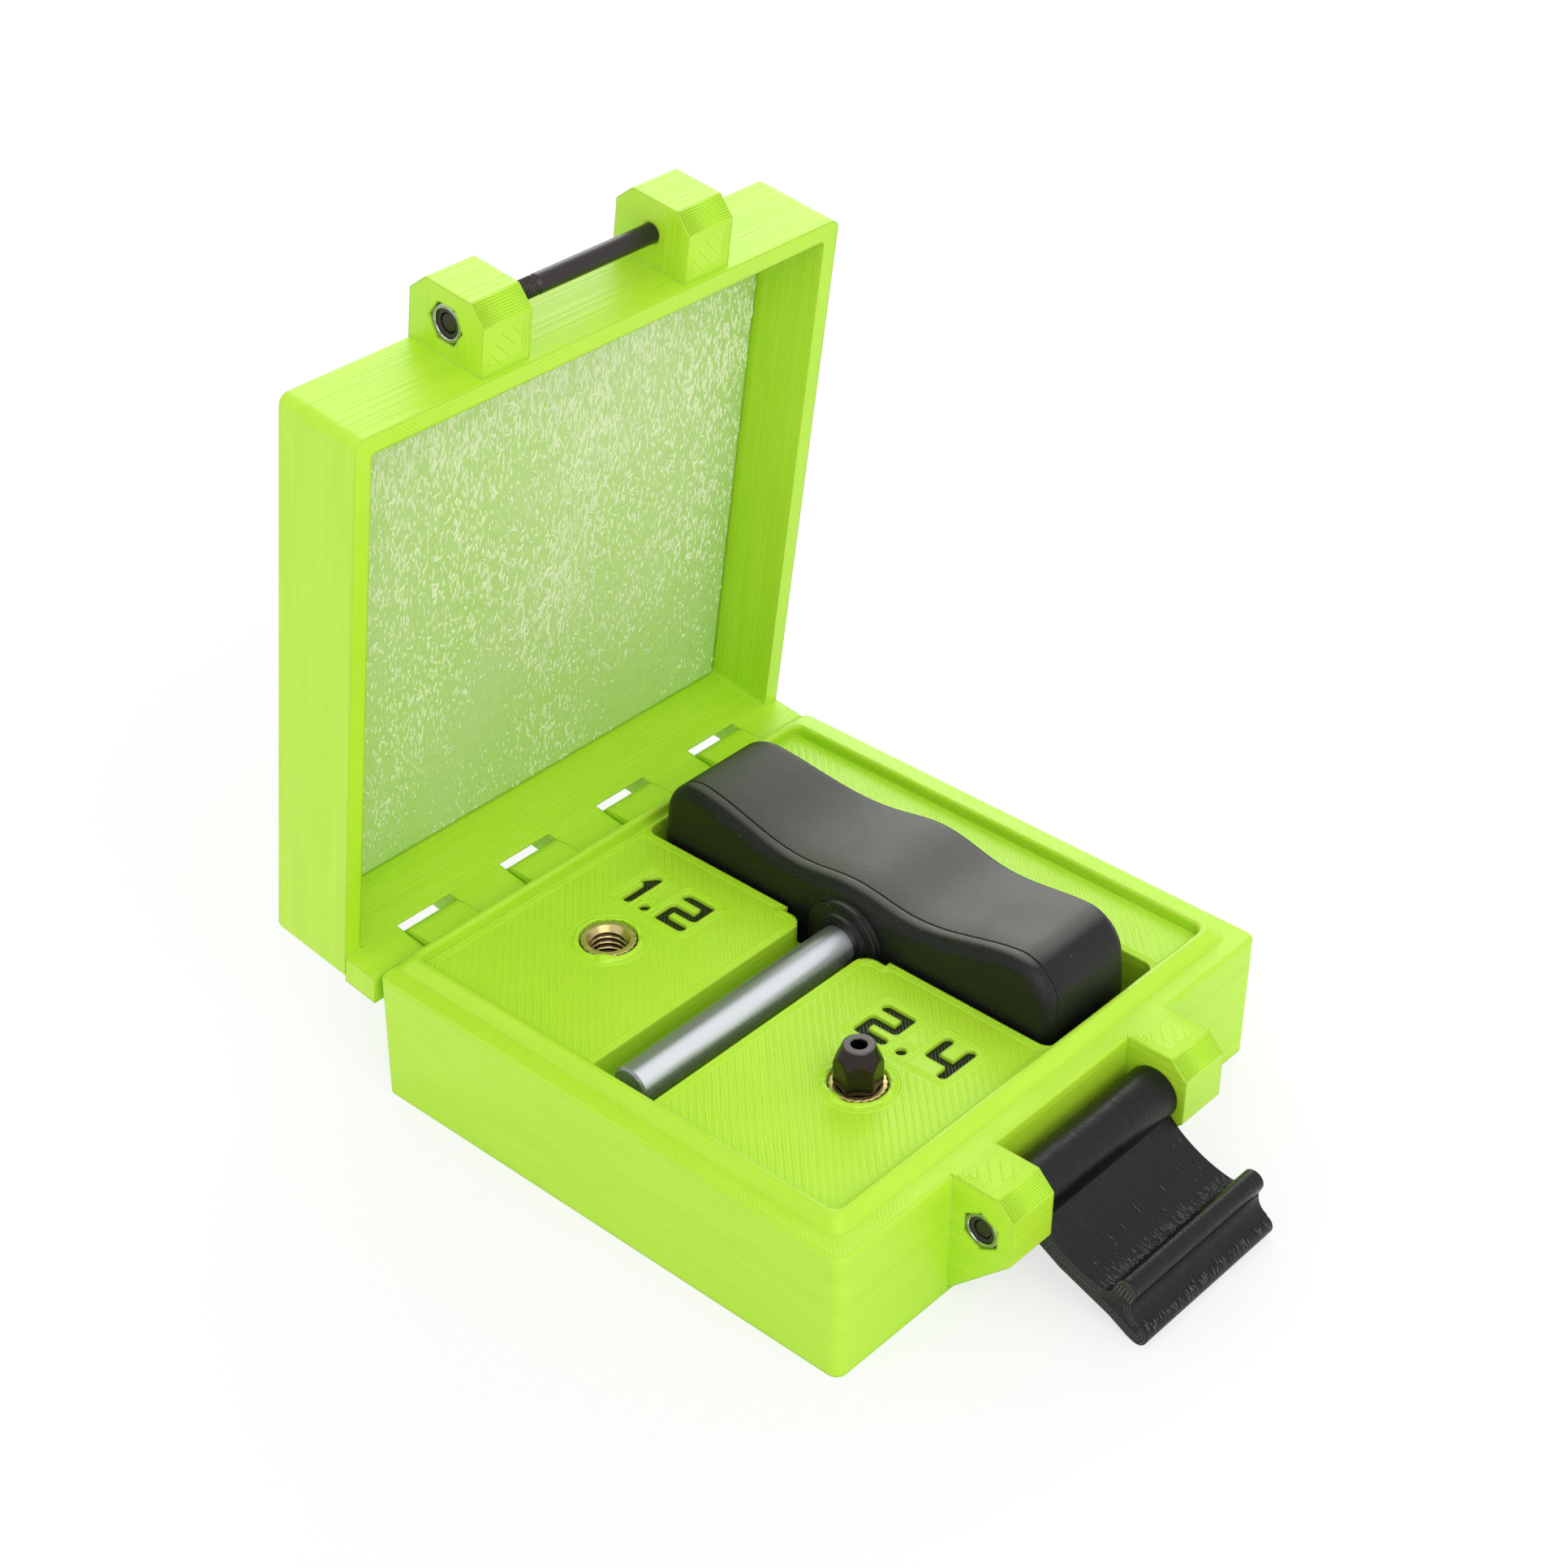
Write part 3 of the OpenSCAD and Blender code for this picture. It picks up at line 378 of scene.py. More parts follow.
def rounded_loop(centre, half, radius):
    """Points round a rectangle with rounded corners, about half a millimetre apart, back to the first."""
    loop = []
    for sx, sy, a0 in ((1, 1, 0), (-1, 1, 90), (-1, -1, 180), (1, -1, 270)):
        for a in [math.radians(a0 + a) for a in range(0, 91, 9)]:
            loop.append((centre[0] + sx * half[0] + radius * math.cos(a),
                         centre[1] + sy * half[1] + radius * math.sin(a)))
    fine = []
    for (x0, y0), (x1, y1) in zip(loop, loop[1:] + loop[:1]):
        n = max(1, round(math.hypot(x1 - x0, y1 - y0) / 0.5))
        fine += [(x0 + (x1 - x0) * i / n, y0 + (y1 - y0) * i / n) for i in range(n)]
    return fine + fine[:1]


bead_z = ear_top - bead_radius + bead_rise
deck_lines = []
for gap in contour_gaps:
    for centre, half, radius in deck_holes:
        deck_lines += kept_runs(rounded_loop(centre, half, radius + gap), gap, bead_z, 3)
    border_half = [(deck_high[i] - deck_low[i]) / 2 - gap - border_corner for i in (0, 1)]
    border_mid = [(deck_high[i] + deck_low[i]) / 2 for i in (0, 1)]
    deck_lines += kept_runs(rounded_loop(border_mid, border_half, border_corner), gap, bead_z, 3)
laid_lines("deck_contour_lines", deck_lines, bead_radius, bead_green, "base")

infill_lines = []
for i in range(-infill_rows, infill_rows + 1):
    start = i * line_pitch / math.sqrt(2)
    line = []
    for k in range(int(infill_reach / infill_step) + 1):
        along = -infill_reach / 2 + k * infill_step
        line.append((along + start, along - start + border_mid[1]))
    for run in kept_runs(line, infill_gap, bead_z, 4):
        first = 0
        while first < len(run) - 4:
            last = min(len(run) - 1, first + random.randint(*bead_steps))
            x, y, z = run[first]
            sink = infill_sink * mm * (0.5 + 0.7 * noise.noise(Vector((x * 45, y * 45, 7.0))))
            infill_lines.append([(x, y, z - sink), (run[last][0], run[last][1], z - sink)])
            first = last + random.randint(*break_steps)
laid_lines("deck_infill_lines", infill_lines, bead_radius, bead_green, "base")


ear_insets, ear_stroke_places = (0.45, 0.95, 1.5), (-1.7, -0.6, 0.6, 1.7)


def ear_top_lines(z):
    """Nested loops and diagonal strokes on the flat of an ear, as points in metres."""
    loops, strokes = [], []
    y0, y1 = ear_face_y + ear_slope, wall_y
    for x0, x1 in ear_spans:
        for inset in ear_insets:
            corners = [(x0 + inset, y0 + inset), (x1 - inset, y0 + inset),
                       (x1 - inset, y1 - inset), (x0 + inset, y1 - inset)]
            loops.append([(x * mm, y * mm, z * mm) for x, y in corners])
        for t in ear_stroke_places:
            mid_x, mid_y = (x0 + x1) / 2 + t, (y0 + y1) / 2 - t
            half = 1.5 - 0.3 * abs(t)
            strokes.append([((mid_x - half) * mm, (mid_y - half) * mm, z * mm),
                            ((mid_x + half) * mm, (mid_y + half) * mm, z * mm)])
    return loops, strokes


ear_loops, ear_strokes = ear_top_lines(ear_top - bead_radius + bead_rise)
laid_lines("base_ear_loops", ear_loops, bead_radius, bead_green, "base", closed=True)
laid_lines("base_ear_strokes", ear_strokes, bead_radius, bead_green, "base")


# ----------------------------------------------------------------------------
# The size marks: recessed numerals whose floors are printed in black, in glossy diagonal lines.
# ----------------------------------------------------------------------------
mark_pitch = 0.72


def black_floor():
    mat, shader = finish_material("black floor of the marks", (0.010, 0.010, 0.011, 1), 0.25)
    x, y = axes(mat, part_coordinates(mat)[0])[:2]
    relief(mat, shader, ridges(mat, maths(mat, "SUBTRACT", x, y), mark_pitch), 0.9, 0.00025)
    return mat


floor_of_marks = black_floor()
dress("mark_1_2", floor_of_marks)
dress("mark_2_4", floor_of_marks)


# ----------------------------------------------------------------------------
# The inserts: brass bushes with a knurled outside and an M6 thread, pressed hot into the deck.
# The plastic that flowed as they went in stands round each one as an uneven ring.
# ----------------------------------------------------------------------------
thread_pitch, thread_rings = 1.0, 12
thread_minor, thread_major, thread_depth = 2.5, 2.95, 6.0
mouth_radius, mouth_depth = 3.3, 0.95
rim_radius, knurl_depth, knurl_teeth = 4.35, 0.26, 22
ring_steps = 120
flow_inner, flow_outer = 4.5, 5.35


def machined_brass():
    mat, shader = finish_material("machined brass", (0.50, 0.38, 0.13, 1), 0.32, metallic=1.0)
    place = part_coordinates(mat)[0]
    tint = blended(mat, streaks(mat, place, 0.8, 3.0), (0.42, 0.32, 0.11, 1), (0.74, 0.61, 0.30, 1))
    wire(mat, tint, (shader, "Base Color"))
    relief(mat, shader, streaks(mat, place, (0.6, 0.6, 9.0)), 0.5, 0.00002)
    return mat


def insert_rings():
    """The bush as rings of (radius, height), up its bore, over the rim and down its knurled outside."""
    rings = []
    depth = thread_depth
    while depth > mouth_depth:
        ring = []
        for k in range(ring_steps):
            turn = k / ring_steps
            wave = 0.5 - 0.5 * math.cos(2 * math.pi * (depth / thread_pitch + turn))
            r = thread_minor + (thread_major - thread_minor) * wave ** 0.7
            ring.append((r, -depth))
        rings.append(ring)
        depth -= thread_pitch / thread_rings
    for r, z in ((2.62, -mouth_depth), (2.66, -mouth_depth + 0.06), (mouth_radius - 0.05, -0.06),
                 (mouth_radius, -0.01), (mouth_radius + 0.07, 0.0), (rim_radius - 0.5, 0.0)):
        rings.append([(r, z)] * ring_steps)
    for z in (-0.03, -0.12, -0.3, -0.5, -0.7, -0.95):
        ring = []
        for k in range(ring_steps):
            tooth = abs(math.sin(math.pi * (knurl_teeth * k / ring_steps + z * 1.4)))
            bite = knurl_depth * tooth if z < -0.1 else knurl_depth * tooth * 0.6 + 0.16
            ring.append((rim_radius - bite, z))
        rings.append(ring)
    return rings


def joined_rings(count, steps):
    """Faces between closed rings of points that follow one another."""
    faces = []
    for a in range(0, (count - 1) * steps, steps):
        for k in range(steps):
            n = (k + 1) % steps
            faces.append((a + k, a + n, a + steps + n, a + steps + k))
    return faces


def pressed_insert(name, node, mat, groove):
    """The bush in place of its node, with painted shade darkening the grooves of its thread."""
    low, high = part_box(node)
    cx, cy, top = (low[0] + high[0]) / 2, (low[1] + high[1]) / 2, high[2]
    rings = insert_rings()
    points = []
    for ring in rings:
        for k, (r, z) in enumerate(ring):
            a = 2 * math.pi * k / ring_steps
            points.append((cx + r * mm * math.cos(a), cy + r * mm * math.sin(a), top + z * mm))
    faces = joined_rings(len(rings), ring_steps)
    faces.append(tuple(reversed(range(ring_steps))))
    piece = new_piece(name, points, faces, mat, "base")
    piece.data.materials.append(groove)
    for face in piece.data.polygons:
        spots = [piece.data.vertices[v].co for v in face.vertices]
        away = sum(math.hypot(p.x - cx, p.y - cy) for p in spots) / len(spots) / mm
        below = top - sum(p.z for p in spots) / len(spots)
        # Painted shade: the thread's grooves below the mouth get the dark material.
        if below > mouth_depth * mm and away > thread_minor + 0.2:
            face.material_index = 1
    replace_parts(piece, node)
    return cx, cy


def flowed_ring(cx, cy, seed, blob_at):
    """A low uneven ring of melted plastic round an insert, with one blob over its rim."""
    steps, rows = 144, 12
    deck_z = ear_top * mm
    points = []
    for i in range(rows + 1):
        t = i / rows
        for k in range(steps):
            a = 2 * math.pi * k / steps
            lump = noise.noise(Vector((math.cos(a) * 2.3, math.sin(a) * 2.3, seed)))
            fine = noise.noise(Vector((math.cos(a) * 7, math.sin(a) * 7, seed + t * 3)))
            blob = max(0.0, math.cos(a - blob_at)) ** 24
            outer = flow_outer + 0.55 * lump + 0.35 * blob
            r = flow_inner + (0.16 * fine - 0.5 * blob) * (1 - t) + (outer - flow_inner) * t
            crest = math.sin(math.pi * (0.2 + 0.78 * t)) ** 0.8
            crest *= 0.38 + 0.28 * lump + 0.12 * fine + 0.25 * blob
            points.append((cx + r * mm * math.cos(a), cy + r * mm * math.sin(a),
                           deck_z + (max(0.03, crest) if i < rows else -0.08) * mm))
    return points, [(a, d, c, b) for a, b, c, d in joined_rings(rows + 1, steps)]


brass = machined_brass()
# The dark brown for the thread's grooves is painted shade.
painted_groove_shade = finish_material("dark groove of the thread", (0.055, 0.032, 0.010, 1), 0.4, metallic=0.8)[0]
for node, seed, blob_at in (("insert_1_2", 3.0, math.radians(215)), ("insert_2_4", 11.0, math.radians(170))):
    cx, cy = pressed_insert("knurled_" + node, node, brass, painted_groove_shade)
    ring_points, ring_faces = flowed_ring(cx, cy, seed, blob_at)
    new_piece("flow_" + node, ring_points, ring_faces, bead_green, "base")


# ----------------------------------------------------------------------------
# The tip: a small blackened steel body, hexagonal below and turned to a cone above, with a round
# hole down it, worn edges, and a threaded stud that screws into its insert.
# ----------------------------------------------------------------------------
tip_steps = 144
tip_flat, tip_corner, tip_turn = 3.15, 3.66, math.radians(14)
tip_body, tip_cone_from, tip_nose = 6.73, 3.55, 2.42
tip_cone_to, cone_rings = tip_body - 0.3, 30
tip_bore, tip_bore_depth = 1.175, 9.0
stud_radius, stud_thread, stud_lead = 2.47, 0.38, 8
tip_edge = 18


def worn_black(name, colour, worn, roughness, metallic, radius):
    """Dark plated steel, rubbed lighter where its edges stand out."""
    mat, shader = finish_material(name, colour, roughness, metallic=metallic)
    place = part_coordinates(mat)[0]
    bevel = add(mat, "Bevel", Radius=radius, samples=8)
    source = add(mat, "NewGeometry")
    apart = add(mat, "VectorMath", operation="DOT_PRODUCT")
    wire(mat, (bevel, 0), (apart, 0))
    wire(mat, (source, "True Normal"), (apart, 1))
    edge = ramp(mat, maths(mat, "SUBTRACT", 1.0, (apart, 1)), 0.01, 0.12)
    patch = ramp(mat, streaks(mat, place, 1.2, 3.0), 0.4, 0.6)
    wire(mat, blended(mat, maths(mat, "MULTIPLY", edge, patch), colour, worn), (shader, "Base Color"))
    relief(mat, shader, streaks(mat, place, 4, 3.0), 0.35, 0.00003, (bevel, 0))
    return mat


def hexagon(a):
    """The reach of the hexagon in the direction a, in millimetres."""
    off_flat = (a - tip_turn) % (math.pi / 3) - math.pi / 6
    return tip_flat / math.cos(off_flat)


def tip_rings(foot):
    """Rings from the foot of the stud over the hexagon and the cone and down the hole, as (radii, height)."""
    rings = [([r] * tip_steps, z) for r, z in
             ((stud_radius - 0.7, foot), (stud_radius - 0.6, foot + 0.1), (stud_radius - 0.45, foot + 0.25))]
    count = thread_rings * (-foot - 1)
    for i in range(round(count)):
        z = foot + 0.4 + i / thread_rings
        depth = stud_thread * min(1, i / stud_lead, (count - i) / stud_lead)
        ring = []
        for k in range(tip_steps):
            wave = 0.5 - 0.5 * math.cos(2 * math.pi * (z / thread_pitch + k / tip_steps))
            ring.append(stud_radius - depth * wave)
        rings.append((ring, z))
    rings += [([stud_radius] * tip_steps, z) for z in (-0.4, -0.06, 0.0)]
    profile = [(2.6, 0.0), (3.05, 0.0), (3.35, 0.05), (3.5, 0.15), (tip_corner, 0.32), (tip_corner, 0.42),
               (tip_corner, tip_cone_from - 0.2), (tip_corner, tip_cone_from)]
    for i in range(1, cone_rings + 1):
        profile.append((tip_corner + (tip_nose - tip_corner) * i / cone_rings,
                        tip_cone_from + (tip_cone_to - tip_cone_from) * i / cone_rings))
    profile += [(tip_nose - 0.04, tip_body - 0.18), (tip_nose - 0.09, tip_body - 0.08),
                (tip_nose - 0.17, tip_body - 0.02)]
    for turned, z in profile:
        ring = []
        for k in range(tip_steps):
            flat = hexagon(2 * math.pi * k / tip_steps)
            ring.append(-math.log(math.exp(-tip_edge * flat) + math.exp(-tip_edge * turned)) / tip_edge)
        rings.append((ring, z))
    for r, z in ((tip_nose - 0.27, tip_body), (tip_nose - 0.33, tip_body), (tip_bore + 0.14, tip_body),
                 (tip_bore + 0.09, tip_body), (tip_bore + 0.03, tip_body - 0.03), (tip_bore, tip_body - 0.09),
                 (tip_bore, tip_body - 0.15), (tip_bore, tip_body - 0.5), (tip_bore, tip_body - 2.0),
                 (tip_bore, tip_body - tip_bore_depth + 0.2), (tip_bore, tip_body - tip_bore_depth)):
        rings.append(([r] * tip_steps, z))
    return rings


tip_low, tip_high = [Vector(v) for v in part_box("tip_2_4")]
tip_foot = tip_high.z - tip_body * mm
tip_points = []
for ring, z in tip_rings((tip_low.z - tip_foot) / mm):
    for k, r in enumerate(ring):
        a = 2 * math.pi * k / tip_steps
        tip_points.append(((tip_low.x + tip_high.x) / 2 + r * mm * math.cos(a),
                           (tip_low.y + tip_high.y) / 2 + r * mm * math.sin(a), tip_foot + z * mm))
tip_faces = joined_rings(len(tip_points) // tip_steps, tip_steps)
tip_faces.append(tuple(reversed(range(tip_steps))))
tip_faces.append(tuple(range(len(tip_points) - tip_steps, len(tip_points))))
tip_steel = worn_black("blackened steel of the tip", (0.036, 0.027, 0.023, 1), (0.34, 0.30, 0.28, 1),
                       0.2, 0.85, 0.0003)
tip_top = worn_black("turned top of the tip", (0.105, 0.095, 0.095, 1), (0.34, 0.32, 0.30, 1),
                     0.3, 0.85, 0.0001)
tip_piece = new_piece("tip_turned", tip_points, tip_faces, tip_steel, "tip")
tip_piece.data.materials.append(tip_top)
for face in tip_piece.data.polygons:
    if face.center.z > tip_foot + (tip_body - 0.06) * mm:
        face.material_index = 1
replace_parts(tip_piece, "tip_2_4")


# ----------------------------------------------------------------------------
# The screws and nuts: black machine screws with zinc-plated locking nuts, and a plain steel rod
# through the hinge.
# ----------------------------------------------------------------------------
black_oxide = worn_black("black oxide of the screws", (0.042, 0.037, 0.036, 1), (0.20, 0.18, 0.17, 1),
                         0.34, 0.7, 0.0001)
zinc = worn_black("bright zinc of the nuts", (0.34, 0.36, 0.36, 1), (0.92, 0.93, 0.94, 1), 0.2, 1.0, 0.00035)
nylon = finish_material("dark nylon of the locking rings", (0.030, 0.030, 0.022, 1), 0.45, specular=0.35)[0]
plain_steel = worn_black("plain steel rod", (0.60, 0.60, 0.62, 1), (0.8, 0.8, 0.82, 1), 0.3, 1.0, 0.0001)
for screw in ("latch_screw", "catch_screw"):
    dress(screw, black_oxide)
for nut in ("latch_nut", "catch_nut"):
    dress(nut, zinc)
    dress(nut + "_ring", nylon)
for pin in ("hinge_pin", "lock_pin"):
    dress(pin, plain_steel)


# ----------------------------------------------------------------------------
# The latch: printed on its side in black, so its layers are stacked across its width and its
# end faces show the lines that follow its outline.
# ----------------------------------------------------------------------------
def black_print():
    mat, shader = finish_material("black print of the latch", (0.005, 0.005, 0.006, 1), 0.28, specular=0.27)
    place, normal = part_coordinates(mat)
    ends = maths(mat, "GREATER_THAN", maths(mat, "ABSOLUTE", axes(mat, normal)[0]), 0.9)
    uneven = streaks(mat, place, (2.6, 0.05, 0.05), 3.0)
    sides = weighted(mat, ridges(mat, axes(mat, place)[0], layer), 0.3, uneven, 2.0)
    height = chosen(mat, ends, sides, streaks(mat, place, 0.8, 3.0))
    soft_edges_and_relief(mat, shader, height, 0.7, 0.00008, 0.0003)
    scuff = ramp(mat, streaks(mat, place, (5.0, 0.6, 0.6), 4.0), 0.62, 0.75)
    tint = blended(mat, scuff, (0.0045, 0.0045, 0.0055, 1), (0.020, 0.020, 0.023, 1))
    wire(mat, tint, (shader, "Base Color"))
    return mat


def flecks(places, lift):
    """Raised flecks as points and faces, each from (middle, along, across, out, length, width)."""
    points, faces = [], []
    stations = [(-0.5, 0.12), (-0.25, 0.8), (0.0, 1.0), (0.25, 0.8), (0.5, 0.12)]
    sunk = 0.04 * mm
    for middle, along, across, out, length, width in places:
        start = len(points)
        bend = random.uniform(-0.25, 0.25) * width
        for t, swell in stations:
            spine = middle + along * (t * length) + across * (bend * (1 - 4 * t * t))
            points += [spine - across * (width * swell / 2) - out * sunk, spine + out * (lift * swell * mm),
                       spine + across * (width * swell / 2) - out * sunk]
        for k in range(len(stations) - 1):
            a = start + 3 * k
            faces += [(a, a + 1, a + 4, a + 3), (a + 1, a + 2, a + 5, a + 4)]
    return points, faces


dress("latch", black_print())

# The two end faces show three lines that follow the outline.
end_gaps = (0.35, 0.85, 1.35)
end_line_radius, end_line_rise, end_slack = 0.2, 0.07, 0.03


def outline_lines(node, side, gaps):
    """Short lines inside the outline of a node's end face, on the side of X given as -1 or 1."""
    mesh = welded(node)
    end_x = max(side * v.co.x for v in mesh.verts)
    flat = {f for f in mesh.faces if all(end_x - side * v.co.x < same_point for v in f.verts)}
    edges = []
    for edge in mesh.edges:
        inner = [f for f in edge.link_faces if f in flat]
        if len(inner) == 1:
            a, b = [Vector((v.co.y, v.co.z)) / mm for v in edge.verts]
            middle = inner[0].calc_center_median()
            inwards = Vector((b[1] - a[1], a[0] - b[0])).normalized()
            if inwards.dot(Vector((middle.y, middle.z)) / mm - a) < 0:
                inwards.negate()
            edges.append((a, b, inwards))
    mesh.free()

    def clear(point, gap):
        for a, b, _ in edges:
            run = b - a
            t = min(1, max(0, (point - a).dot(run) / run.length_squared))
            if (point - a - run * t).length < gap - end_slack:
                return False
        return True

    lines = []
    x = side * (end_x - (end_line_radius - end_line_rise) * mm)
    for gap in gaps:
        for a, b, inwards in edges:
            count = max(1, round((b - a).length / 0.5))
            for i in range(count):
                pair = [a + (b - a) * (t / count) + inwards * gap for t in (i, i + 1)]
                if all(clear(p, gap) for p in pair):
                    lines.append([(x, p[0] * mm, p[1] * mm) for p in pair])
    return lines


end_black = finish_material("cut ends of black plastic", (0.016, 0.015, 0.012, 1), 0.24, specular=0.7)[0]
laid_lines("latch_end_lines", outline_lines("latch", -1, end_gaps) + outline_lines("latch", 1, end_gaps),
           end_line_radius, end_black, "latch")

# Loose ends of the layers stand up in a rough band beside the ridge, along the edge of the tab, and
# here and there on the arm: each band is (how many, lowest y, highest y).
loose_bands = ((560, -65.3, -61.8), (110, -71.4, -70.0), (26, -63.0, -55.0))
loose_half, loose_lift, loose_lengths, loose_widths = 14.3, 0.13, (0.5, 1.5), (0.14, 0.26)
random.seed(7)
band = []
for spread, low_y, high_y in loose_bands:
    for i in range(spread):
        x, y = random.uniform(-loose_half, loose_half), random.triangular(low_y, high_y, low_y)
        found, at, normal, face = cad["latch"].ray_cast(Vector((x * mm, y * mm, 0.1)), Vector((0, 0, -1)))
        if found and normal.z > 0.3:
            along = Vector((0, normal.z, -normal.y)) + Vector((random.uniform(-0.3, 0.3), 0, 0))
            along.normalize()
            band.append((at, along, normal.cross(along), normal, random.uniform(*loose_lengths) * mm,
                         random.uniform(*loose_widths) * mm))
loose_black = finish_material("loose ends of black plastic", (0.040, 0.040, 0.044, 1), 0.22, specular=0.7)[0]
fleck_points, fleck_faces = flecks(band, loose_lift)
new_piece("latch_loose_ends", fleck_points, fleck_faces, loose_black, "latch")


# ----------------------------------------------------------------------------
# The lid: printed in the same green with its plate down, and turned over to close the box. The
# chamfer on the rim side of its ears climbs in layers.
# ----------------------------------------------------------------------------
lid_joint = [j for j in frame["joints"] if j["name"] == "lid_hinge"][0]
lid_angle = math.radians(lid_joint["range_deg"][1])
lid_ear_low = 22.3
dress("lid_shell", green_print("lime print of the lid", lid_angle))

bead_points, bead_faces = layer_beads(ear_spans, (ear_face_y, lid_ear_low + ear_slope),
                                      (ear_face_y + ear_slope, lid_ear_low), (-half_root, -half_root))
hinge_at = Vector(lid_joint["pos_m"])
opened = Matrix.Translation(hinge_at) @ Matrix.Rotation(-lid_angle, 4, "X") @ Matrix.Translation(-hinge_at)
new_piece("lid_ear_layers", [opened @ p for p in bead_points], bead_faces, bead_green, "lid")
ear_loops, ear_strokes = ear_top_lines(lid_ear_low + bead_radius - bead_rise)
for name, lines, closed in (("lid_ear_loops", ear_loops, True), ("lid_ear_strokes", ear_strokes, False)):
    turned_out = [[opened @ Vector(p) for p in line] for line in lines]
    laid_lines(name, turned_out, bead_radius, bead_green, "lid", closed)


# ----------------------------------------------------------------------------
# The foam: a thin sheet of white bubbly foam stuck inside the lid. The green plate shows through
# it, and its skin is wrinkled along the lid.
# ----------------------------------------------------------------------------
foam_step = 0.5
foam_wrinkle, foam_edge = 0.16, 0.45
wrinkle_tries, wrinkle_lift, wrinkle_lengths, wrinkle_widths = 14000, 0.17, (0.8, 2.7), (0.22, 0.46)
bare_side, bare_end, wrinkle_sunk = 0.0006, 0.0008, 0.00008


def thin_foam():
    mat, shader = finish_material("thin white foam", (0.4, 0.64, 0.15, 1), 0.35)
    place = part_coordinates(mat, lid_angle)[0]
    high = ramp(mat, axes(mat, place)[1], 30.0, -34.0)
    cover = weighted(mat, streaks(mat, place, (0.045, 0.03, 0.03)), 0.7, high, 0.5, clamp=True)
    fine = streaks(mat, place, (2.4, 0.7, 1.0), 3.0)
    ground = blended(mat, cover, (0.33, 0.62, 0.018, 1), (0.50, 0.67, 0.26, 1))
    pale = maths(mat, "MULTIPLY", ramp(mat, fine, 0.5, 0.75), 0.42)
    wire(mat, blended(mat, pale, ground, (0.74, 0.86, 0.50, 1)), (shader, "Base Color"))
    relief(mat, shader, fine, 0.7, 0.0002)
    return mat


shut = opened.inverted()


def extent(points):
    """The low and the high corner of the box round some points."""
    return [Vector([pick(p[i] for p in points) for i in range(3)]) for pick in (min, max)]


def foam_sheet():
    """The sheet's wrinkled face, its edges and its flat back, drawn on the shut lid and turned with it."""
    solid = cad["foam_pad"]
    low, high = extent([shut @ (solid.matrix_world @ v.co) for v in solid.data.vertices])
    nx = round((high[0] - low[0]) / (foam_step * mm))
    ny = round((high[1] - low[1]) / (foam_step * mm))
    points, faces = [], []
    for j in range(ny + 1):
        for i in range(nx + 1):
            x = low[0] + (high[0] - low[0]) * i / nx
            y = low[1] + (high[1] - low[1]) * j / ny
            edge = min(i, j, nx - i, ny - j)
            wave = noise.noise(Vector((x * 900, y * 260, 1.7)))
            wave += 0.6 * noise.noise(Vector((x * 1900, y * 700, 5.1)))
            dip = foam_wrinkle * (0.55 - 0.45 * wave) if edge else foam_edge
            points.append(opened @ Vector((x, y, low[2] + max(0.0, dip) * mm)))
    row = nx + 1
    for j in range(ny):
        for i in range(nx):
            a = j * row + i
            faces.append((a, a + row, a + row + 1, a + 1))
    rim = ([i for i in range(nx)] + [nx + j * row for j in range(ny)] +
           [ny * row + i for i in range(nx, 0, -1)] + [j * row for j in range(ny, 0, -1)])
    start = len(points)
    for k in rim:
        p = shut @ points[k]
        points.append(opened @ Vector((p[0], p[1], high[2])))
    n = len(rim)
    faces += [(rim[k], rim[(k + 1) % n], start + (k + 1) % n, start + k) for k in range(n)]
    faces.append(tuple(start + k for k in range(n)))
    return points, faces


foam_points, foam_faces = foam_sheet()
foam = new_piece("foam_sheet", foam_points, foam_faces, thin_foam(), "lid")
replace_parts(foam, "foam_pad")

# Its bubbles have burst into small upright wrinkles, crowded at the free edge and sparse at the hinge.
random.seed(12)
foam_low, foam_high = extent([shut @ p for p in foam_points])
turn_only = opened.to_3x3()
wrinkles = []
for i in range(wrinkle_tries):
    across_share, up_share = random.random(), random.random()
    x = foam_low[0] + bare_side + (foam_high[0] - foam_low[0] - 2 * bare_side) * across_share
    y = foam_high[1] - bare_end - (foam_high[1] - foam_low[1] - 2 * bare_end) * up_share
    patch = noise.noise(Vector((x * 60, y * 45, 3.0)))
    crowd = -0.02 + 0.85 * up_share + 0.25 * math.sin(math.pi * across_share) + 0.7 * patch
    if random.random() > crowd:
        continue
    size = 0.35 + 0.65 * min(1, max(0, crowd))
    lean = math.radians(random.gauss(0, 13) if random.random() < 0.9 else random.uniform(-80, 80))
    along = turn_only @ Vector((math.sin(lean), -math.cos(lean), 0))
    across = turn_only @ Vector((math.cos(lean), math.sin(lean), 0))
    wrinkles.append((opened @ Vector((x, y, foam_low[2] + wrinkle_sunk)), along, across,
                     turn_only @ Vector((0, 0, -1)), size * random.uniform(*wrinkle_lengths) * mm,
                     random.uniform(*wrinkle_widths) * mm))
bubble_skin = finish_material("glossy skin of the foam", (0.78, 0.88, 0.54, 1), 0.14, specular=0.9)[0]
wrinkle_points, wrinkle_faces = flecks(wrinkles, wrinkle_lift)
wrinkled = new_piece("foam_wrinkles", wrinkle_points, wrinkle_faces, bubble_skin, "lid")


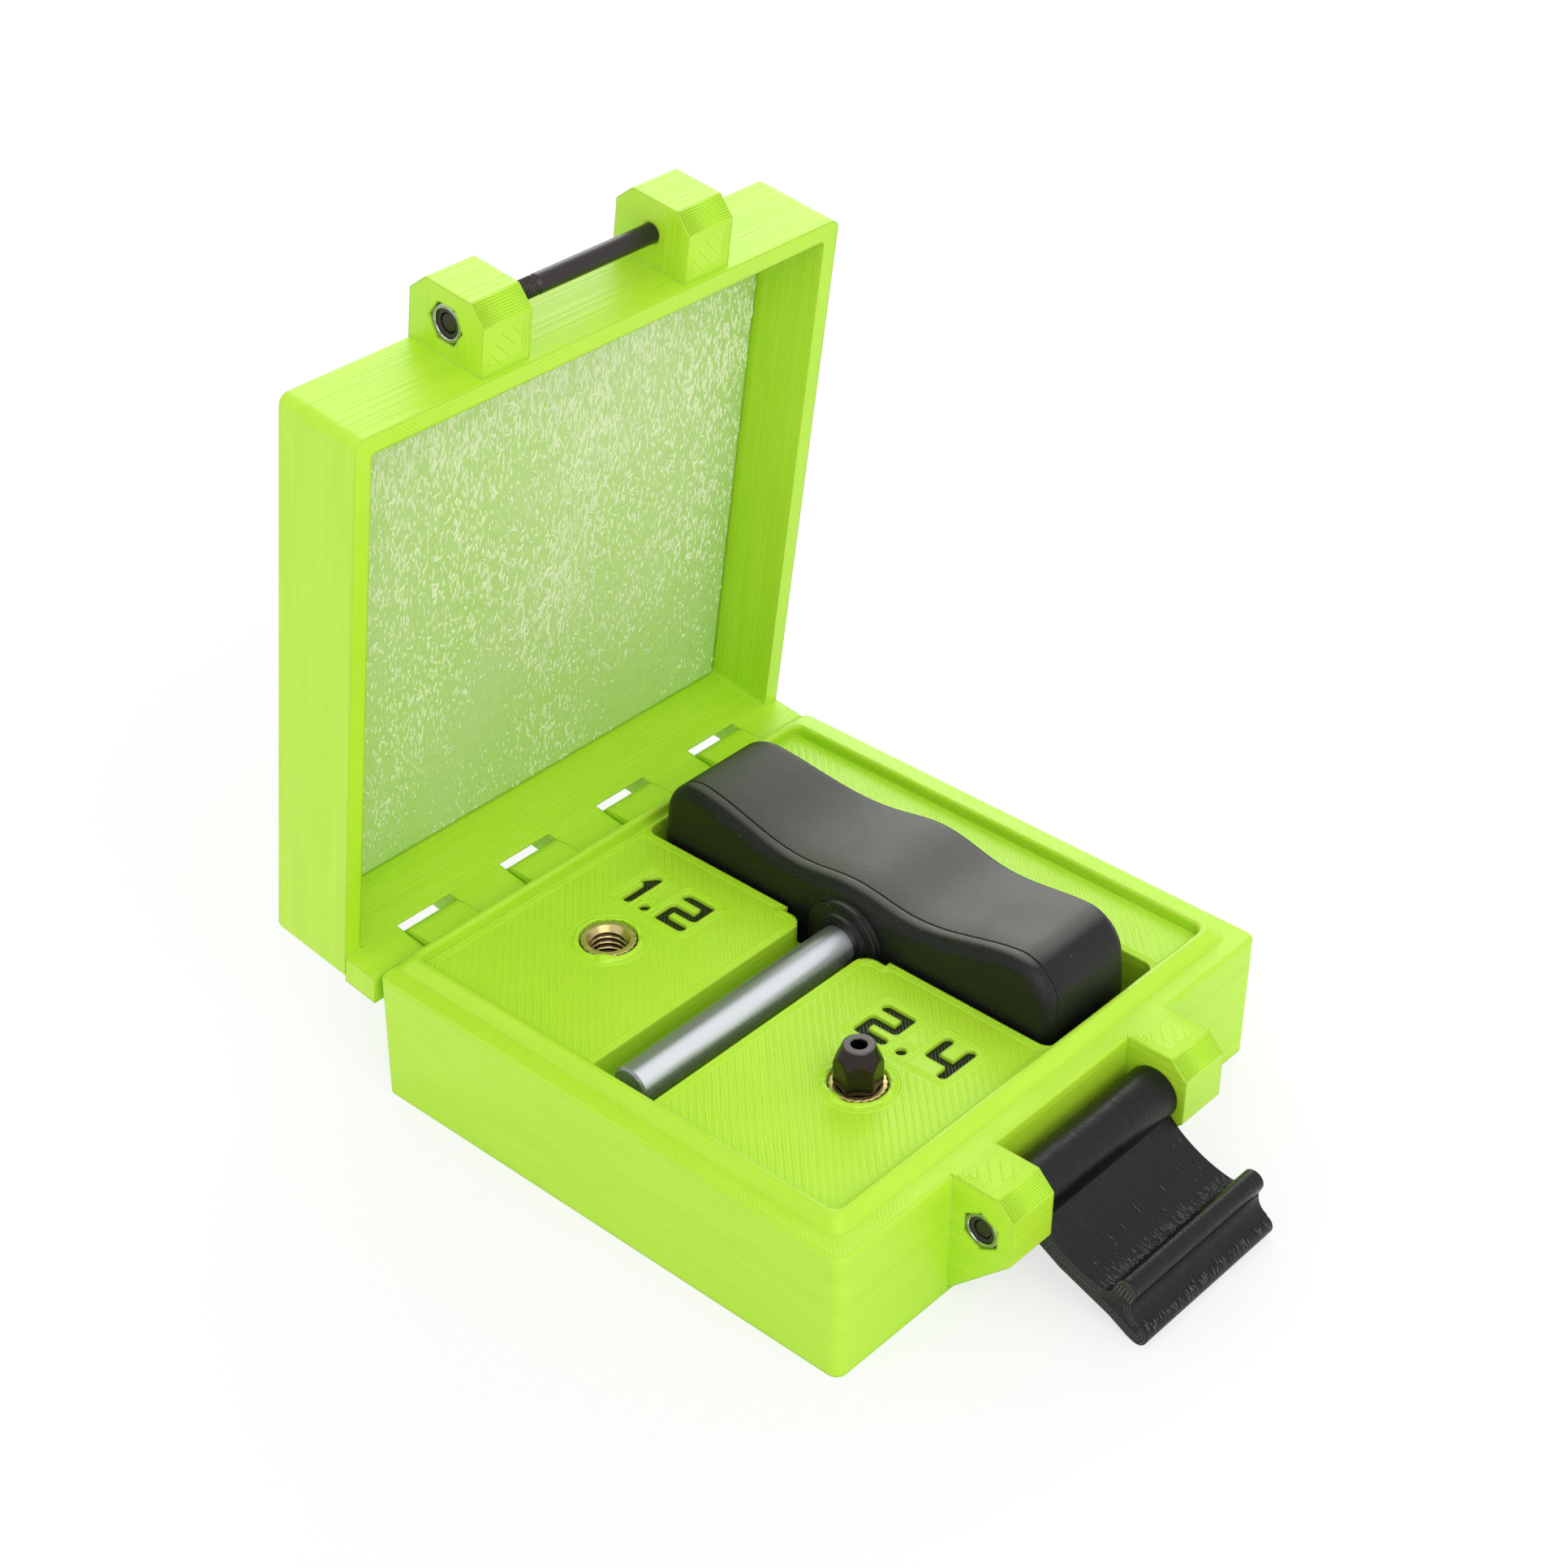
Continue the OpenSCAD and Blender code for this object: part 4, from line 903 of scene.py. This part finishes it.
# ----------------------------------------------------------------------------
# The tool: a moulded grip in two halves, closed along a fine seam, on a turned steel shaft. The
# plastic is dark grey with a fine grain; the shaft leaves it through a stepped boss.
# ----------------------------------------------------------------------------
grip_low, grip_high = [Vector(v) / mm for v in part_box("grip_rear")]
nose_low = Vector(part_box("grip_front")[0]) / mm
boss_height, collar_height = 1.0, 0.7
boss_radius, collar_radius = 6.7, 4.9
seam_x = grip_low[0]
face_x = nose_low[0] + boss_height + collar_height
grip_mid_y, grip_mid_z = (grip_low[1] + grip_high[1]) / 2, (grip_low[2] + grip_high[2]) / 2
grip_half_length = (grip_high[1] - grip_low[1]) / 2
crest, waist, hump = 12.2, 8.2, 9.3
waist_at, crest_at = 11.0, 33.0
corner_radius, end_bulge, outline_steps = 6.5, 0.4, 60
face_round, rear_round, rear_bow = 2.2, 2.2, 4.4
seam_round, seam_depth = 0.26, 0.34


def grip_height(y):
    """Half height of the grip at a distance y from its middle."""
    y = abs(y)
    if y < waist_at:
        return waist + (hump - waist) * (0.5 + 0.5 * math.cos(math.pi * y / waist_at))
    if y < crest_at:
        rise = (y - waist_at) / (crest_at - waist_at)
        return waist + (crest - waist) * (0.5 - 0.5 * math.cos(math.pi * rise))
    return crest


def grip_outline():
    """The outline as (y, z) round the grip's middle, above and then below, and how many points are above."""
    flat = grip_half_length - end_bulge - corner_radius
    side = grip_height(flat) - corner_radius
    upper = [(grip_half_length - end_bulge * t * t, side * t) for t in (0, 0.25, 0.5, 0.75)]
    for a in range(0, 91, 6):
        upper.append((flat + corner_radius * math.cos(math.radians(a)),
                      side + corner_radius * math.sin(math.radians(a))))
    for i in range(1, outline_steps + 1):
        y = flat * (1 - i / outline_steps)
        upper.append((y, grip_height(y)))
    left = [(-y, z) for y, z in reversed(upper[:-1])]
    upper = upper + left
    lower = [(y, -z) for y, z in reversed(upper[1:-1])]
    return [Vector(p) for p in upper + lower], len(upper)


outline, upper_count = grip_outline()
outline_count = len(outline)
outline_normals = []
for i in range(outline_count):
    run = outline[(i + 1) % outline_count] - outline[i - 1]
    outline_normals.append(Vector((run[1], -run[0])).normalized())


def grip_loop(inset):
    """The outline drawn in by an inset."""
    return [outline[i] - inset * outline_normals[i] for i in range(outline_count)]


def rear_place(y):
    """Where the bowed rear face stands, at a distance y from the middle."""
    return grip_high[0] - rear_bow * (0.5 - 0.5 * math.cos(math.pi * min(1, abs(y) / grip_half_length)))


def lofted_half(name, node, rings, mat):
    """A shell through rings of (x, y, z) in millimetres, with its two ends closed by strips."""
    points = [(p[0] * mm, (grip_mid_y + p[1]) * mm, (grip_mid_z + p[2]) * mm) for ring in rings for p in ring]
    faces = joined_rings(len(rings), outline_count)
    for at, turned in ((0, True), ((len(rings) - 1) * outline_count, False)):
        for j in range(upper_count - 1):
            under, next_under = (outline_count - j) % outline_count, (outline_count - j - 1) % outline_count
            strip = [at + j, at + j + 1, at + next_under, at + under]
            strip = [v for i, v in enumerate(strip) if v not in strip[:i]]
            faces.append(tuple(reversed(strip)) if turned else tuple(strip))
    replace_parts(new_piece(name, points, faces, mat, "tool"), node)


def grained_plastic():
    """Fine-grained dark plastic, made paler on its upward faces by a painted sheen."""
    mat, shader = finish_material("dark grained plastic of the grip", (0.006, 0.006, 0.0065, 1), 0.4,
                                  specular=0.31)
    place, normal = part_coordinates(mat)
    speck = ramp(mat, streaks(mat, place, 2.6, 1.0), 0.71, 0.78)
    # Painted sheen: faces that look up are coloured paler, as light from above would make them look.
    top_sheen_mask = ramp(mat, axes(mat, normal)[2], 0.84, 1.0)
    painted_top_sheen = blended(mat, top_sheen_mask, (0.0055, 0.0055, 0.006, 1), (0.084, 0.084, 0.078, 1))
    wire(mat, blended(mat, speck, painted_top_sheen, (0.085, 0.085, 0.085, 1)), (shader, "Base Color"))
    broad = maths(mat, "MULTIPLY", streaks(mat, place, 0.12), 0.16)
    wire(mat, maths(mat, "ADD", broad, 0.36), (shader, "Roughness"))
    grain = maths(mat, "ADD", streaks(mat, place, 3.0, 3.0), maths(mat, "MULTIPLY", speck, 0.5))
    relief(mat, shader, grain, 0.9, 0.00008)
    return mat


grip_plastic = grained_plastic()
quarter = [math.radians(a) for a in range(0, 91, 10)]
front_rings = [[(face_x, p[0], p[1]) for p in grip_loop(face_round + 0.5)]]
for a in quarter:
    front_rings.append([(face_x + face_round * (1 - math.cos(a)), p[0], p[1])
                        for p in grip_loop(face_round * (1 - math.sin(a)))])
for a in quarter[::3]:
    front_rings.append([(seam_x - seam_round * (1 - math.sin(a)), p[0], p[1])
                        for p in grip_loop(seam_round * (1 - math.cos(a)))])
front_rings.append([(seam_x, p[0], p[1]) for p in grip_loop(seam_depth + seam_round)])
lofted_half("grip_front_shell", "grip_front", front_rings, grip_plastic)

rear_rings = [[(seam_x, p[0], p[1]) for p in grip_loop(seam_depth + seam_round)]]
for a in quarter[::3]:
    rear_rings.append([(seam_x + seam_round * (1 - math.cos(a)), p[0], p[1])
                       for p in grip_loop(seam_round * (1 - math.sin(a)))])
for t in (0.25, 0.5, 0.75):
    rear_rings.append([(seam_x + (rear_place(p[0]) - rear_round - seam_x) * t, p[0], p[1])
                       for p in grip_loop(0)])
for a in quarter:
    rear_rings.append([(rear_place(p[0]) - rear_round * (1 - math.sin(a)), p[0], p[1])
                       for p in grip_loop(rear_round * (1 - math.cos(a)))])
rear_rings.append([(rear_place(p[0]), p[0], p[1]) for p in grip_loop(rear_round + 0.5)])
lofted_half("grip_rear_shell", "grip_rear", rear_rings, grip_plastic)


bore_radius = 3.2
boss_steps, corner_steps = 96, 5


def rounded_step(x, r, radius):
    """A rounded outer corner of the boss, from its end face to its side."""
    turns = [math.radians(90 * i / corner_steps) for i in range(corner_steps + 1)]
    return [(x + radius * (1 - math.cos(a)), r - radius * (1 - math.sin(a))) for a in turns]


boss = [(face_x + 0.5, bore_radius), (nose_low[0] + 0.15, bore_radius), (nose_low[0], bore_radius + 0.15)]
boss += [(nose_low[0], collar_radius - 0.6)] + rounded_step(nose_low[0], collar_radius, 0.3)
boss += [(face_x - boss_height - 0.25, collar_radius + 0.02),
         (face_x - boss_height - 0.07, collar_radius + 0.1)]
boss += [(face_x - boss_height, collar_radius + 0.28)] + rounded_step(face_x - boss_height, boss_radius, 0.4)
boss += [(face_x - 0.3, boss_radius + 0.02), (face_x - 0.08, boss_radius + 0.12),
         (face_x + 0.02, boss_radius + 0.4)]
boss_points = []
for x, r in boss:
    for k in range(boss_steps):
        a = 2 * math.pi * k / boss_steps
        boss_points.append((x * mm, (grip_mid_y + r * math.cos(a)) * mm, (grip_mid_z + r * math.sin(a)) * mm))
new_piece("grip_boss", boss_points, joined_rings(len(boss), boss_steps), grip_plastic, "tool")


# The direction in which the shaft's painted highlight lies: up and towards the latch.
highlight_up, highlight_front = 0.766, 0.643


def turned_steel():
    """Satin steel with pits, a painted highlight along a band up and towards the latch, painted shade round
    the rest, and painted glints as pale specks on its lower sides.
    """
    mat, shader = finish_material("turned steel of the shaft", (0.66, 0.67, 0.69, 1), 0.34, metallic=0.72)
    place, normal = part_coordinates(mat)
    ny, nz = axes(mat, normal)[1:]
    pits = streaks(mat, place, 3.2, 4.0)
    # Painted highlight and shade: pale where the normal faces up and towards the latch, dark grey elsewhere.
    bright = ramp(mat, weighted(mat, nz, highlight_up, ny, -highlight_front), 0.80, 0.99)
    # Painted glints: pale specks where the pits are, on the lower sides only.
    painted_glints = maths(mat, "MULTIPLY", ramp(mat, pits, 0.56, 0.68), ramp(mat, nz, 0.85, 0.5))
    body = blended(mat, bright, (0.27, 0.28, 0.30, 1), (0.74, 0.76, 0.80, 1))
    with_painted_glints = blended(mat, maths(mat, "MULTIPLY", painted_glints, 0.6), body, (0.75, 0.76, 0.78, 1))
    wire(mat, with_painted_glints, (shader, "Base Color"))
    relief(mat, shader, pits, 0.25, 0.00003)
    return mat


dress("shaft", turned_steel())


# ----------------------------------------------------------------------------
# The floor, the light and the camera: a pale floor that keeps the shadow, an even white room, two
# soft boxes, and a camera that looks down on the front corner.
# ----------------------------------------------------------------------------
floor_half, floor_glow = 12.0, 0.72
room_light, white = 0.92, (1, 1, 1, 1)
floor_mesh = bpy.data.meshes.new("floor")
floor_mesh.from_pydata([(-floor_half, -floor_half, 0), (floor_half, -floor_half, 0),
                        (floor_half, floor_half, 0), (-floor_half, floor_half, 0)], [], [(0, 1, 2, 3)])
floor = bpy.data.objects.new("floor", floor_mesh)
bpy.context.scene.collection.objects.link(floor)
floor_paint, floor_shader = finish_material("pale floor", (0.9, 0.9, 0.9, 1), 0.9, specular=0.0)
floor_mesh.materials.append(floor_paint)
floor_path = add(floor_paint, "LightPath")
floor_mix = add(floor_paint, "MixShader")
wire(floor_paint, maths(floor_paint, "MULTIPLY", (floor_path, "Is Camera Ray"), floor_glow), (floor_mix, 0))
wire(floor_paint, (floor_shader, 0), (floor_mix, 1))
wire(floor_paint, (add(floor_paint, "Emission", Strength=1.0), 0), (floor_mix, 2))
wire(floor_paint, (floor_mix, 0), (floor_paint.node_tree.nodes["Material Output"], 0))

world = bpy.data.worlds.new("plain white room")
bpy.context.scene.world = world
world.use_nodes = True
world.node_tree.nodes.clear()
path = add(world, "LightPath")
seen = maths(world, "MAXIMUM", (path, "Is Camera Ray"), (path, "Is Glossy Ray"))
seen = maths(world, "MAXIMUM", seen, (path, "Is Transmission Ray"))
choose = add(world, "MixShader")
wire(world, seen, (choose, 0))
wire(world, (add(world, "Background", Color=white, Strength=room_light), 0), (choose, 1))
wire(world, (add(world, "Background", Color=white, Strength=1.0), 0), (choose, 2))
wire(world, (choose, 0), (add(world, "OutputWorld"), 0))


def soft_box(name, place, width, height, watts):
    """A plain rectangular lamp aimed at the box."""
    data = bpy.data.lights.new(name, "AREA")
    data.shape = "RECTANGLE"
    data.size = width
    data.size_y = height
    data.energy = watts
    lamp = bpy.data.objects.new(name, data)
    lamp.location = place
    lamp.rotation_euler = (lamps_aim - lamp.location).to_track_quat("-Z", "Y").to_euler()
    bpy.context.scene.collection.objects.link(lamp)


lamps_aim = Vector((0, 0, 0.03))
soft_box("front soft box", (-0.35, -0.85, 0.75), 0.9, 0.9, 4.0)
soft_box("rear soft box", (0.75, 0.75, 0.55), 0.9, 0.55, 4.5)

camera_data = bpy.data.cameras.new("camera")
camera_data.lens = 70.17
camera_data.sensor_width = 36.0
camera = bpy.data.objects.new("camera", camera_data)
camera_at = (-0.26815, -0.23014, 0.29586)
azimuth, elevation, roll = math.radians(-48.43), math.radians(34.65), math.radians(0.46)
turn = (Matrix.Rotation(azimuth, 4, "Z") @ Matrix.Rotation(math.pi / 2 - elevation, 4, "X")
        @ Matrix.Rotation(roll, 4, "Z"))
camera.matrix_world = Matrix.Translation(camera_at) @ turn
bpy.context.scene.collection.objects.link(camera)
bpy.context.scene.camera = camera

bpy.context.scene.view_settings.view_transform = "Standard"
